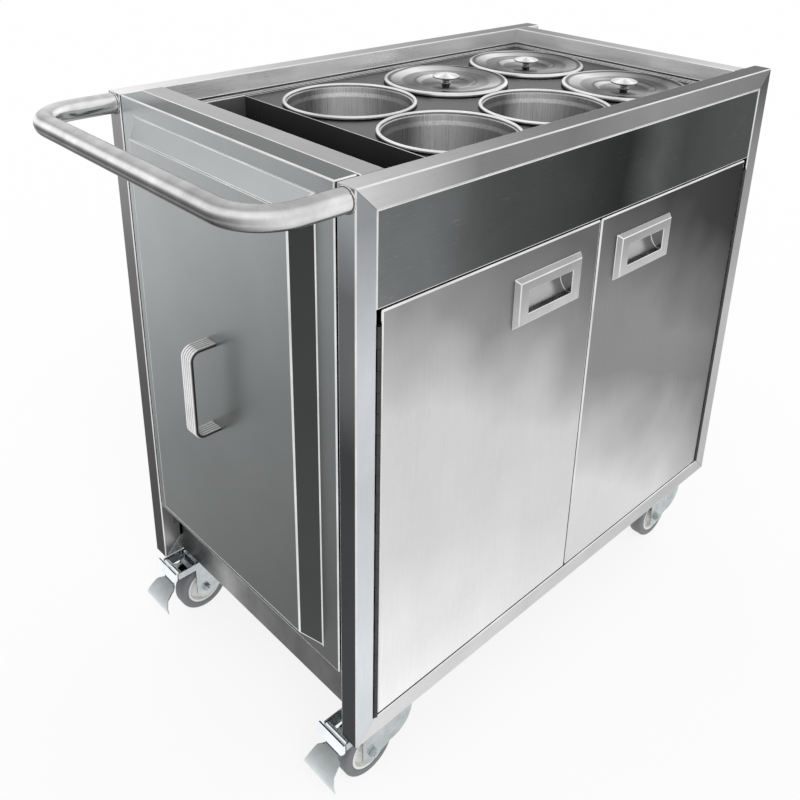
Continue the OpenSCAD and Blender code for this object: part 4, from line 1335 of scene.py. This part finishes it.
@dataclass
class PushHandle:
    """Tubular push handle with weld beads at the posts.

    Attributes:
        radius: Radius of the tube.
        bend: Bend radius of its centre line.
        segments: Faces round the tube.
        bend_steps: Faces along a bend.
        bead: Radius of a weld bead.
        stand_off: Distance of its middle from the tube.
        before: Distance of its middle before the post.
        ripple: Height of its ripples.
        ripple_y: How fast they follow each other across the cart, in radians per metre.
        ripple_z: How fast they follow each other upwards.
        bead_turns: Faces round the tube of a bead.
    """

    radius: float = 0.015
    bend: float = 0.062
    segments: int = 40
    bend_steps: int = 14
    bead: float = 0.0015
    stand_off: float = 0.0004
    before: float = 0.0006
    ripple: float = 0.00027
    ripple_y: float = 2600.0
    ripple_z: float = 2300.0
    bead_turns: int = 60

    def build(self) -> None:
        """Builds the bent tube and its two welds."""
        low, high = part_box("push_handle")
        z = (low.z + high.z) / 2
        near, far = low.y + self.radius, high.y - self.radius
        bar_x = low.x + self.radius
        form = Form()
        ring = bmesh.ops.create_circle(form.bm, cap_ends=False, radius=self.radius,
                                       segments=self.segments)["verts"]
        bmesh.ops.rotate(form.bm, verts=ring, cent=Vector(), matrix=Matrix.Rotation(pi / 2, 3, "Y"))
        bmesh.ops.translate(form.bm, verts=ring, vec=Vector((high.x, near, z)))
        line = list({edge for vert in ring for edge in vert.link_edges})
        line = self.run(form, line, Vector((bar_x + self.bend - high.x, 0.0, 0.0)))
        line = self.turn(form, line, Vector((bar_x + self.bend, near + self.bend, z)))
        line = self.run(form, line, Vector((0.0, far - near - 2 * self.bend, 0.0)))
        line = self.turn(form, line, Vector((bar_x + self.bend, far - self.bend, z)))
        self.run(form, line, Vector((high.x - bar_x - self.bend, 0.0, 0.0)))
        bmesh.ops.recalc_face_normals(form.bm, faces=form.bm.faces)
        for y in (near, far):
            self.weld(form, Vector((high.x, y, z)))
        Dress("push_handle_tube", "cart", Slot.FRAME, PUSH_HANDLE, ("push_handle",)).put_on(form)

    def run(self, form: Form, line: Edges, by: Vector) -> list[bmesh.types.BMEdge]:
        """Draws the tube's end on straight.

        Args:
            form: The tube.
            line: Edges of its end.
            by: Way that it goes.

        Returns:
            Edges of the new end.
        """
        made = bmesh.ops.extrude_edge_only(form.bm, edges=list(line))["geom"]
        ends = verts_of(made)
        bmesh.ops.translate(form.bm, vec=by, verts=ends)
        return [edge for edge in edges_of(made) if all(vert in ends for vert in edge.verts)]

    def turn(self, form: Form, line: Edges, centre: Vector) -> list[bmesh.types.BMEdge]:
        """Draws the tube's end round a quarter bend.

        Args:
            form: The tube.
            line: Edges of its end.
            centre: Centre of the bend.

        Returns:
            Edges of the new end.
        """
        line = list(line)
        verts = list({vert for edge in line for vert in edge.verts})
        made = bmesh.ops.spin(form.bm, geom=verts + line, cent=centre, axis=Vector((0, 0, -1)),
                              angle=pi / 2, steps=self.bend_steps, use_merge=False,
                              use_duplicate=False)
        return edges_of(made["geom_last"])

    def weld(self, form: Form, at: Vector) -> None:
        """Lays a rippled weld bead round an end of the tube.

        Args:
            form: The tube.
            at: Centre of the end.
        """
        bead = Form()
        profile = arc((self.radius + self.stand_off, -self.before), self.bead, 0, 360, 8)
        bead.turned(profile, at, Axis.X, self.bead_turns)
        for vert in bead.bm.verts:
            spoke = Vector((0.0, vert.co.y - at.y, vert.co.z - at.z))
            wave = sin(spoke.y * self.ripple_y) * cos(spoke.z * self.ripple_z)
            vert.co += spoke.normalized() * wave * self.ripple
        spare = bpy.data.meshes.new("bead")
        bead.bm.to_mesh(spare)
        bead.bm.free()
        form.bm.from_mesh(spare)
        bpy.data.meshes.remove(spare)


@dataclass
class Deck:
    """Sunk deck with its slot chute, six pots and three lids with knobs.

    Attributes:
        pot_r: Outside radius of a pot's body.
        wall: Wall of a pot.
        bead: Radius of its rolled rim.
        step: How far the body draws in under the rim.
        inner_step: Depths under the rim between which its inside draws in.
        outer_step: Depths under the rim between which its outside draws in.
        ease: Height over which the inner step's ends are eased.
        flare: How far the inside flares into the rim.
        lip: How far the outside flares into the rim.
        lip_low: Depth under the rim at which that starts.
        curl: Degrees from the rolled rim's outer side over its top to its inner end.
        corner: Radius of its lower corner.
        base_r: Radius of the raised middle of its base.
        base_rise: How far that rises.
        ring_r: Radius of the ring round it.
        ring_rise: How far that rises.
        ring_run: Width of the slopes between them.
        lid_wall: Sheet of a lid.
        lid_clear: Gap between a lid's ring and the pot's rim.
        lid_deep: Height of the rim's middle over a lid's underside.
        ring: Outside radius of the ring that fits over a pot's rim.
        skirt: How far the ring's edge hangs under the middle of the pot's rim.
        lean: Degrees of the ring from its outer side over its top to the plate.
        plate_r: Outside radius of a lid's flat plate.
        dish_r: Radius of a lid's sunk middle.
        dish_run: Width of the slope down into it.
        soft: Reach of its roundings: into the dish, up from its foot, and about its top.
        blend: Half the width of the bend between plate and ring.
        hem: Chamfer at the ring's lower edge.
        crown: Height over the rim's middle above which the ring gets the painted edge highlight.
        knob_r: Radius of a knob's cap.
        knob_h: Height of a knob.
        stem: Radius and height of the corners of its foot and neck.
        brim: Distance from the cap's edge, and height, of the corners under it.
        cap_h: Height at which the cap's dome starts.
        knob_turns: Faces round a knob.
        turns: Faces round a pot or lid.
    """

    pot_r: float = 0.099
    wall: float = 0.0012
    bead: float = 0.003
    step: float = 0.002
    inner_step: tuple[float, float] = (0.009, 0.018)
    outer_step: tuple[float, float] = (0.0125, 0.015)
    ease: float = 0.002
    flare: float = 0.002
    lip: float = 0.0005
    lip_low: float = 0.0025
    curl: float = 235.0
    corner: float = 0.012
    base_r: float = 0.030
    base_rise: float = 0.0012
    ring_r: float = 0.058
    ring_rise: float = 0.0004
    ring_run: float = 0.002
    lid_wall: float = 0.001
    lid_clear: float = 0.0005
    lid_deep: float = 0.005
    ring: float = 0.0045
    skirt: float = 0.0018
    lean: float = 98.0
    plate_r: float = 0.076
    dish_r: float = 0.052
    dish_run: float = 0.0065
    soft: Triple = (0.002, 0.0006, 0.0008)
    blend: float = 0.003
    hem: float = 0.0003
    crown: float = 0.002475
    knob_r: float = 0.0235
    knob_h: float = 0.0175
    stem: Profile = ((0.0, 0.0), (0.009, 0.0), (0.009, 0.0012), (0.0066, 0.0030),
                     (0.006, 0.0068), (0.0075, 0.0084))
    brim: Profile = ((0.003, 0.0098), (0.0007, 0.0106))
    cap_h: float = 0.0115
    knob_turns: int = 48
    turns: int = 96

    def build(self) -> None:
        """Builds the deck's pieces."""
        softened("top_deck", "cart", Slot.SHEET, DECK, 0.0007, 2)
        softened("slot_chute", "cart", Slot.SHEET, CHUTE, 0.0006, 2)
        for row in ("front", "rear"):
            for column in ("left", "middle", "right"):
                self.pot(f"{row}_{column}")
        for place in ("front_right", "rear_middle", "rear_right"):
            self.lid(place)
            self.knob(place)

    def centre(self, node: str) -> Vector:
        """Gives the middle of a round node's underside."""
        low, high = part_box(node)
        return Vector(((low.x + high.x) / 2, (low.y + high.y) / 2, low.z))

    def rim(self, place: str) -> tuple[Vector, float]:
        """Gives the middle of a lid's underside and the outside radius of its pot's rim.

        Args:
            place: The pot's row and column.

        Returns:
            The point and the radius.
        """
        low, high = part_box("pot_" + place)
        at = self.centre("pot_" + place)
        at.z = high.z - self.bead - self.lid_deep
        return at, (high.x - low.x) / 2

    def pot(self, place: str) -> None:
        """Builds a pot with a rolled rim, a drawn-in body and a ringed base.

        Args:
            place: Its row and column.
        """
        node = "pot_" + place
        at = self.centre(node)
        low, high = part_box(node)
        rim_r = (high.x - low.x) / 2 - self.bead
        rim_z = high.z - low.z - self.bead
        flange = rim_z - self.bead + self.wall
        outer = self.pot_r - self.step
        inner = outer - self.wall
        upper = self.pot_r - self.wall
        inner_high, inner_low = self.inner_step
        outer_high, outer_low = self.outer_step
        corner = (outer - self.corner, self.corner)
        eased = self.ease * 0.2
        flared = self.flare * 0.3
        profile = [(0.0, self.wall + self.base_rise), (self.base_r, self.wall + self.base_rise),
                   (self.base_r + self.ring_run, self.wall + self.ring_rise),
                   (self.ring_r, self.wall + self.ring_rise),
                   (self.ring_r + self.ring_run, self.wall), (corner[0], self.wall)]
        profile += arc(corner, self.corner - self.wall, -90, 0, 6)[1:]
        profile += [(inner, flange - inner_low), (inner + eased, flange - inner_low + self.ease),
                    (upper - eased, flange - inner_high - self.ease),
                    (upper, flange - inner_high), (upper, flange - self.flare),
                    (upper + flared, flange - flared), (upper + self.flare, flange)]
        profile += arc((rim_r, rim_z), self.bead, self.curl, -90, 14)
        profile += [(self.pot_r + self.lip, flange - self.wall),
                    (self.pot_r, flange - self.lip_low), (self.pot_r, flange - outer_high),
                    (outer, flange - outer_low)]
        profile += arc(corner, self.corner, 0, -90, 6)
        profile += [(0.0, 0.0)]
        form = Form()
        form.turned(profile, at, Axis.Z, self.turns)
        # The rolled rim's top gets the painted edge highlight.
        form.paint_highlight(at, rim_z, rim_r - self.bead)
        spot = at - ORIGIN
        Dress(node + "_drawn", node, Slot.POLISHED, pot_finish(node, spot.x, spot.y), (node,),
              smooth=radians(60)).put_on(form)

    def lid(self, place: str) -> None:
        """Builds a lid with a ring over the pot's rim, a flat plate and a sunk middle.

        It is placed by the pot that it lies on.

        Args:
            place: Its row and column.
        """
        node = "lid_" + place
        at, rim_r = self.rim(place)
        wall = self.lid_wall
        edge = rim_r + self.lid_clear + wall
        plate = self.lid_deep
        hoop = (edge - self.ring, plate)
        skirt = plate - self.skirt
        floor_r = self.dish_r - self.dish_run
        toe, heel, brow = self.soft
        profile = [(0.0, wall), (floor_r - toe, wall), (floor_r + heel, wall + brow / 2),
                   (self.dish_r - brow, plate - brow / 2), (self.dish_r + brow, plate),
                   (self.plate_r - self.blend, plate),
                   (self.plate_r + self.blend, plate + self.blend / 10)]
        profile += arc(hoop, self.ring, self.lean, 0, 12)
        profile += [(edge, skirt + self.hem), (edge - self.hem, skirt), (edge - wall, skirt)]
        profile += arc(hoop, self.ring - wall, 0, self.lean, 8)
        profile += [(self.plate_r, plate - wall), (self.dish_r, plate - wall), (floor_r, 0.0),
                    (0.0, 0.0)]
        form = Form()
        form.turned(profile, at, Axis.Z, self.turns)
        # The ring's top gets the painted edge highlight.
        form.paint_highlight(at, plate + self.crown, hoop[0] - self.ring)
        spot = at - ORIGIN
        Dress(node + "_pressed", node, Slot.POLISHED, lid_finish(node, spot.x, spot.y), (node,),
              smooth=radians(60)).put_on(form)

    def knob(self, place: str) -> None:
        """Builds a mushroom knob.

        Args:
            place: Its row and column.
        """
        node = "knob_" + place
        at = self.rim(place)[0] + Vector((0.0, 0.0, self.lid_wall))
        dome = self.knob_h - self.cap_h
        profile = [*self.stem, *((self.knob_r - r, h) for r, h in self.brim)]
        profile += [(self.knob_r * cos(a), self.cap_h + dome * sin(a))
                    for a in (radians(90) * index / 9 for index in range(9))]
        profile += [(0.0, self.knob_h)]
        form = Form()
        form.turned(profile, at, Axis.Z, self.knob_turns)
        spot = at - ORIGIN
        Dress(node + "_turned", "lid_" + place, Slot.POLISHED,
              knob_finish(node, spot.x, spot.y), (node,), smooth=radians(60)).put_on(form)


@dataclass
class Caster:
    """Swivel caster: fork, wheel with hub and tyre, and on the left ones a brake pedal.

    Attributes:
        place: Its row and side.
        round_off: Radius of the tyre's shoulders.
        lip: Width and height of the chamfer between tyre and hub.
        line: Half the width, and the depth, of the tyre's moulding line.
        turns: Faces round the tyre.
        hub_r: Radius of the hub.
        bore_r: Radius of its bore.
        boss_r: Radius of the boss round it.
        boss_edge: Chamfer of the boss.
        web: Distance from the boss, and height, of the corners of the web.
        rim: Half the width of the hub's rim.
        grooves: Distance from the hub's edge, and depth, of the corners of the rim's grooves.
        hub_turns: Faces round the hub.
        trail: Distance from the swivel's axis back to the axle.
        leaf_w: Half the width of the brake's leaf.
        leaf_outline: Its corners along the cart from the swivel's axis, and from the floor.
    """

    place: str
    round_off: float = 0.006
    lip: tuple[float, float] = (0.0012, 0.0006)
    line: tuple[float, float] = (0.0006, 0.0003)
    turns: int = 80
    hub_r: float = 0.034
    bore_r: float = 0.00405
    boss_r: float = 0.012
    boss_edge: float = 0.0008
    web: Profile = ((0.0, 0.0044), (0.0012, 0.0032), (0.0080, 0.0030), (0.0152, 0.0044),
                    (0.0166, 0.0062))
    rim: float = 0.013
    grooves: Profile = ((0.0050, 0.0012), (0.0042, 0.0002), (0.0028, 0.0002), (0.0024, 0.0012),
                        (0.0018, 0.0012), (0.0014, 0.0002), (0.0006, 0.0002), (0.0, 0.0012))
    hub_turns: int = 64
    trail: float = 0.030
    leaf_w: float = 0.0132
    leaf_outline: Profile = ((-0.0502, 0.1053), (-0.0600, 0.1053), (-0.0753, 0.0998),
                             (-0.0753, 0.0972), (-0.0590, 0.1017), (-0.0502, 0.1017))

    def build(self) -> None:
        """Builds the caster's pieces."""
        softened(self.place + "_fork", self.place + "_swivel", Slot.ZINC, ZINC, 0.0005, 2)
        self.tyre()
        self.hub()
        if self.place.endswith("left"):
            self.leaf()
            softened(self.place + "_pedal", self.place + "_brake", Slot.ZINC, PEDAL, 0.0008, 2,
                     radians(60), True, radians(45))

    def leaf(self) -> None:
        """Builds the brake leaf's skin in near black painted shade, which shows through the
        bracket's hole.
        """
        node = self.place + "_fork"
        low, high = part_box(self.place + "_hub")
        y = (low.y + high.y) / 2
        swivel_x = (low.x + high.x) / 2 + self.trail
        form = Form()
        verts = [form.bm.verts.new((swivel_x + x, y - self.leaf_w, z))
                 for x, z in self.leaf_outline]
        face = form.bm.faces.new(verts)
        made = bmesh.ops.extrude_face_region(form.bm, geom=[face])["geom"]
        bmesh.ops.translate(form.bm, vec=(0.0, 2 * self.leaf_w, 0.0), verts=verts_of(made))
        bmesh.ops.recalc_face_normals(form.bm, faces=form.bm.faces)
        form.rounded(form.corners(radians(60)), 0.0003, 1, False)
        Dress(self.place + "_brake_leaf", self.place + "_swivel", Slot.ZINC, BRAKE_LEAF_SHADE,
              (node,)).put_on(form)

    def axle(self) -> tuple[Vector, float]:
        """Gives the wheel's middle and half its width."""
        low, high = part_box(self.place + "_tyre")
        return (low + high) / 2, (high.y - low.y) / 2

    def tyre(self) -> None:
        """Builds the tyre with round shoulders and a fine moulding line."""
        node = self.place + "_tyre"
        middle, half = self.axle()
        low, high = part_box(node)
        rim = (high.z - low.z) / 2
        shoulder = rim - self.round_off
        upper = arc((shoulder, half - self.round_off), self.round_off, 0, 90, 6)
        lip_w, lip_h = self.lip
        line_w, line_d = self.line
        profile = [(self.hub_r, half - lip_h), (self.hub_r + lip_w, half), *reversed(upper)]
        profile += [(rim, line_w), (rim - line_d, 0.0), (rim, -line_w)]
        profile += [(r, -h) for r, h in upper]
        profile += [(self.hub_r + lip_w, -half), (self.hub_r, -half + lip_h),
                    (self.hub_r, half - lip_h)]
        form = Form()
        form.turned(profile, middle, Axis.Y, self.turns)
        Dress(node + "_moulded", self.place + "_wheel", Slot.RUBBER, TYRE, (node,)).put_on(form)

    def hub(self) -> None:
        """Builds the hub with a rim, a dished web and a boss."""
        node = self.place + "_hub"
        middle, _ = self.axle()
        low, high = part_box(node)
        boss = (high.y - low.y) / 2
        half = [(self.bore_r, boss), (self.boss_r - self.boss_edge, boss),
                (self.boss_r, boss - self.boss_edge)]
        half += [(self.boss_r + r, h) for r, h in self.web]
        half += [(self.hub_r - r, self.rim - h) for r, h in self.grooves]
        profile = half + [(r, -h) for r, h in reversed(half)] + half[:1]
        form = Form()
        form.turned(profile, middle, Axis.Y, self.hub_turns)
        Dress(node + "_moulded", self.place + "_wheel", Slot.HUB, HUB, (node,),
              smooth=radians(40)).put_on(form)


# Scene


@dataclass
class Camera:
    """The photograph's camera.

    Attributes:
        place: Where it stands.
        heading: Direction that it looks in, in degrees from +X towards +Y.
        tilt: Degrees that it looks up.
        roll: Degrees that it is turned about its own axis.
        lens: Focal length for a 36 mm wide sensor.
        shift_x: Sideways shift as a share of the width.
        shift_y: Upward shift as a share of the width.
    """

    place: Triple = (-1.00203, -0.96794, 1.30317)
    heading: float = 44.64
    tilt: float = -22.62
    roll: float = 1.794
    lens: float = 41.28
    shift_x: float = -0.0336
    shift_y: float = -0.2108

    def build(self) -> None:
        """Sets the camera up."""
        heading, tilt, roll = radians(self.heading), radians(self.tilt), radians(self.roll)
        ahead = Vector((cos(tilt) * cos(heading), cos(tilt) * sin(heading), sin(tilt)))
        level = Vector((sin(heading), -cos(heading), 0.0))
        up = level.cross(ahead)
        right = level * cos(roll) + up * sin(roll)
        data = bpy.data.cameras.new("camera")
        data.sensor_width = 36.0
        data.sensor_fit = "HORIZONTAL"
        data.lens = self.lens
        data.shift_x = self.shift_x
        data.shift_y = self.shift_y
        data.clip_start = 0.05
        data.clip_end = 100.0
        camera = bpy.data.objects.new("camera", data)
        turn = Matrix((right, (ahead * -1.0).cross(right), ahead * -1.0)).transposed()
        camera.matrix_world = Matrix.Translation(Vector(self.place)) @ turn.to_4x4()
        bpy.context.scene.collection.objects.link(camera)
        bpy.context.scene.camera = camera


@dataclass
class Studio:
    """Pale floor, plain soft light and white surroundings.

    Attributes:
        ambient: Strength of the light from all round.
        key: Strength of the soft lamp.
        key_size: Apparent size of the lamp, in degrees.
        key_tilt: Turn of the lamp about X, in degrees.
        key_turn: Turn of the lamp about Y, in degrees.
        floor_size: Side of the floor.
        floor_tone: Colour of the floor, from 0 to 1.
        floor_glow: Share of the floor's own light, which keeps its shadow faint.
    """

    ambient: float = 0.85
    key: float = 0.9
    key_size: float = 28.0
    key_tilt: float = 38.0
    key_turn: float = -22.0
    floor_size: float = 60.0
    floor_tone: float = 0.92
    floor_glow: float = 0.82

    def build(self) -> None:
        """Builds the floor, the surroundings and the lamp."""
        bpy.context.scene.view_settings.view_transform = "Standard"
        self.surroundings()
        self.floor()
        data = bpy.data.lights.new("key", "SUN")
        data.energy = self.key
        data.angle = radians(self.key_size)
        lamp = bpy.data.objects.new("key", data)
        lamp.rotation_euler = (radians(self.key_tilt), radians(self.key_turn), 0.0)
        lamp.visible_glossy = False
        bpy.context.scene.collection.objects.link(lamp)

    def surroundings(self) -> None:
        """Makes the world plain light, and white where it is seen or mirrored."""
        world = bpy.data.worlds.new("studio")
        world.use_nodes = True
        bpy.context.scene.world = world
        tree = world.node_tree
        back = tree.nodes["Background"]
        path = tree.nodes.new("ShaderNodeLightPath")
        seen = tree.nodes.new("ShaderNodeMath")
        seen.operation = "ADD"
        tree.links.new(path.outputs["Is Camera Ray"], seen.inputs[0])
        tree.links.new(path.outputs["Is Glossy Ray"], seen.inputs[1])
        more = tree.nodes.new("ShaderNodeMath")
        more.operation = "ADD"
        more.use_clamp = True
        tree.links.new(seen.outputs[0], more.inputs[0])
        tree.links.new(path.outputs["Is Transmission Ray"], more.inputs[1])
        level = tree.nodes.new("ShaderNodeMapRange")
        tree.links.new(more.outputs[0], level.inputs["Value"])
        level.inputs["To Min"].default_value = self.ambient
        level.inputs["To Max"].default_value = 1.0
        tree.links.new(level.outputs[0], back.inputs["Strength"])
        back.inputs["Color"].default_value = (1.0, 1.0, 1.0, 1.0)

    def floor(self) -> None:
        """Lays the floor."""
        form = Form()
        bmesh.ops.create_grid(form.bm, x_segments=1, y_segments=1, size=self.floor_size / 2)
        mesh = bpy.data.meshes.new("floor")
        form.bm.to_mesh(mesh)
        form.bm.free()
        graph = Graph("floor_white")
        matt = graph.node("BsdfDiffuse")
        graph.feed(matt.inputs["Color"], (self.floor_tone, self.floor_tone, self.floor_tone, 1.0))
        glow = graph.node("Emission")
        path = graph.node("LightPath")
        mirrored = graph.math("ADD", path.outputs["Is Glossy Ray"],
                              path.outputs["Is Transmission Ray"], clamp=True)
        share = graph.math("MAXIMUM", mirrored, self.floor_glow)
        mix = graph.node("MixShader")
        graph.feed(mix.inputs[0], share)
        graph.feed(mix.inputs[1], matt.outputs[0])
        graph.feed(mix.inputs[2], glow.outputs[0])
        output = graph.node("OutputMaterial")
        graph.feed(output.inputs["Surface"], mix.outputs[0])
        mesh.materials.append(graph.material)
        floor = bpy.data.objects.new("floor", mesh)
        bpy.context.scene.collection.objects.link(floor)


def main() -> None:
    """Builds the camera, the cart and the studio in order."""
    logging.basicConfig(level=logging.INFO, format="%(message)s")
    Camera().build()
    TubeFrame().build()
    Carcass().build()
    Deck().build()
    PushHandle().build()
    Door("left", LEFT_DOOR).build()
    Door("right", RIGHT_DOOR).build()
    EndPanel().build()
    softened("hinge_frame_leaves", "cart", Slot.FITTING, HINGE, 0.0003, 1, radians(60), False)
    dressed(HINGE, "hinge_pins")
    dressed(FITTING, "slide_outer_rails")
    dressed(CATCH, "door_catches")
    softened("caster_plates", "cart", Slot.ZINC, ZINC, 0.0005, 2)
    softened("caster_bolts", "cart", Slot.ZINC, CASTER_BOLT, 0.0004, 2)
    for place in ("front_left", "rear_left", "front_right", "rear_right"):
        Caster(place).build()
    Studio().build()


if __name__ == "__main__":
    main()
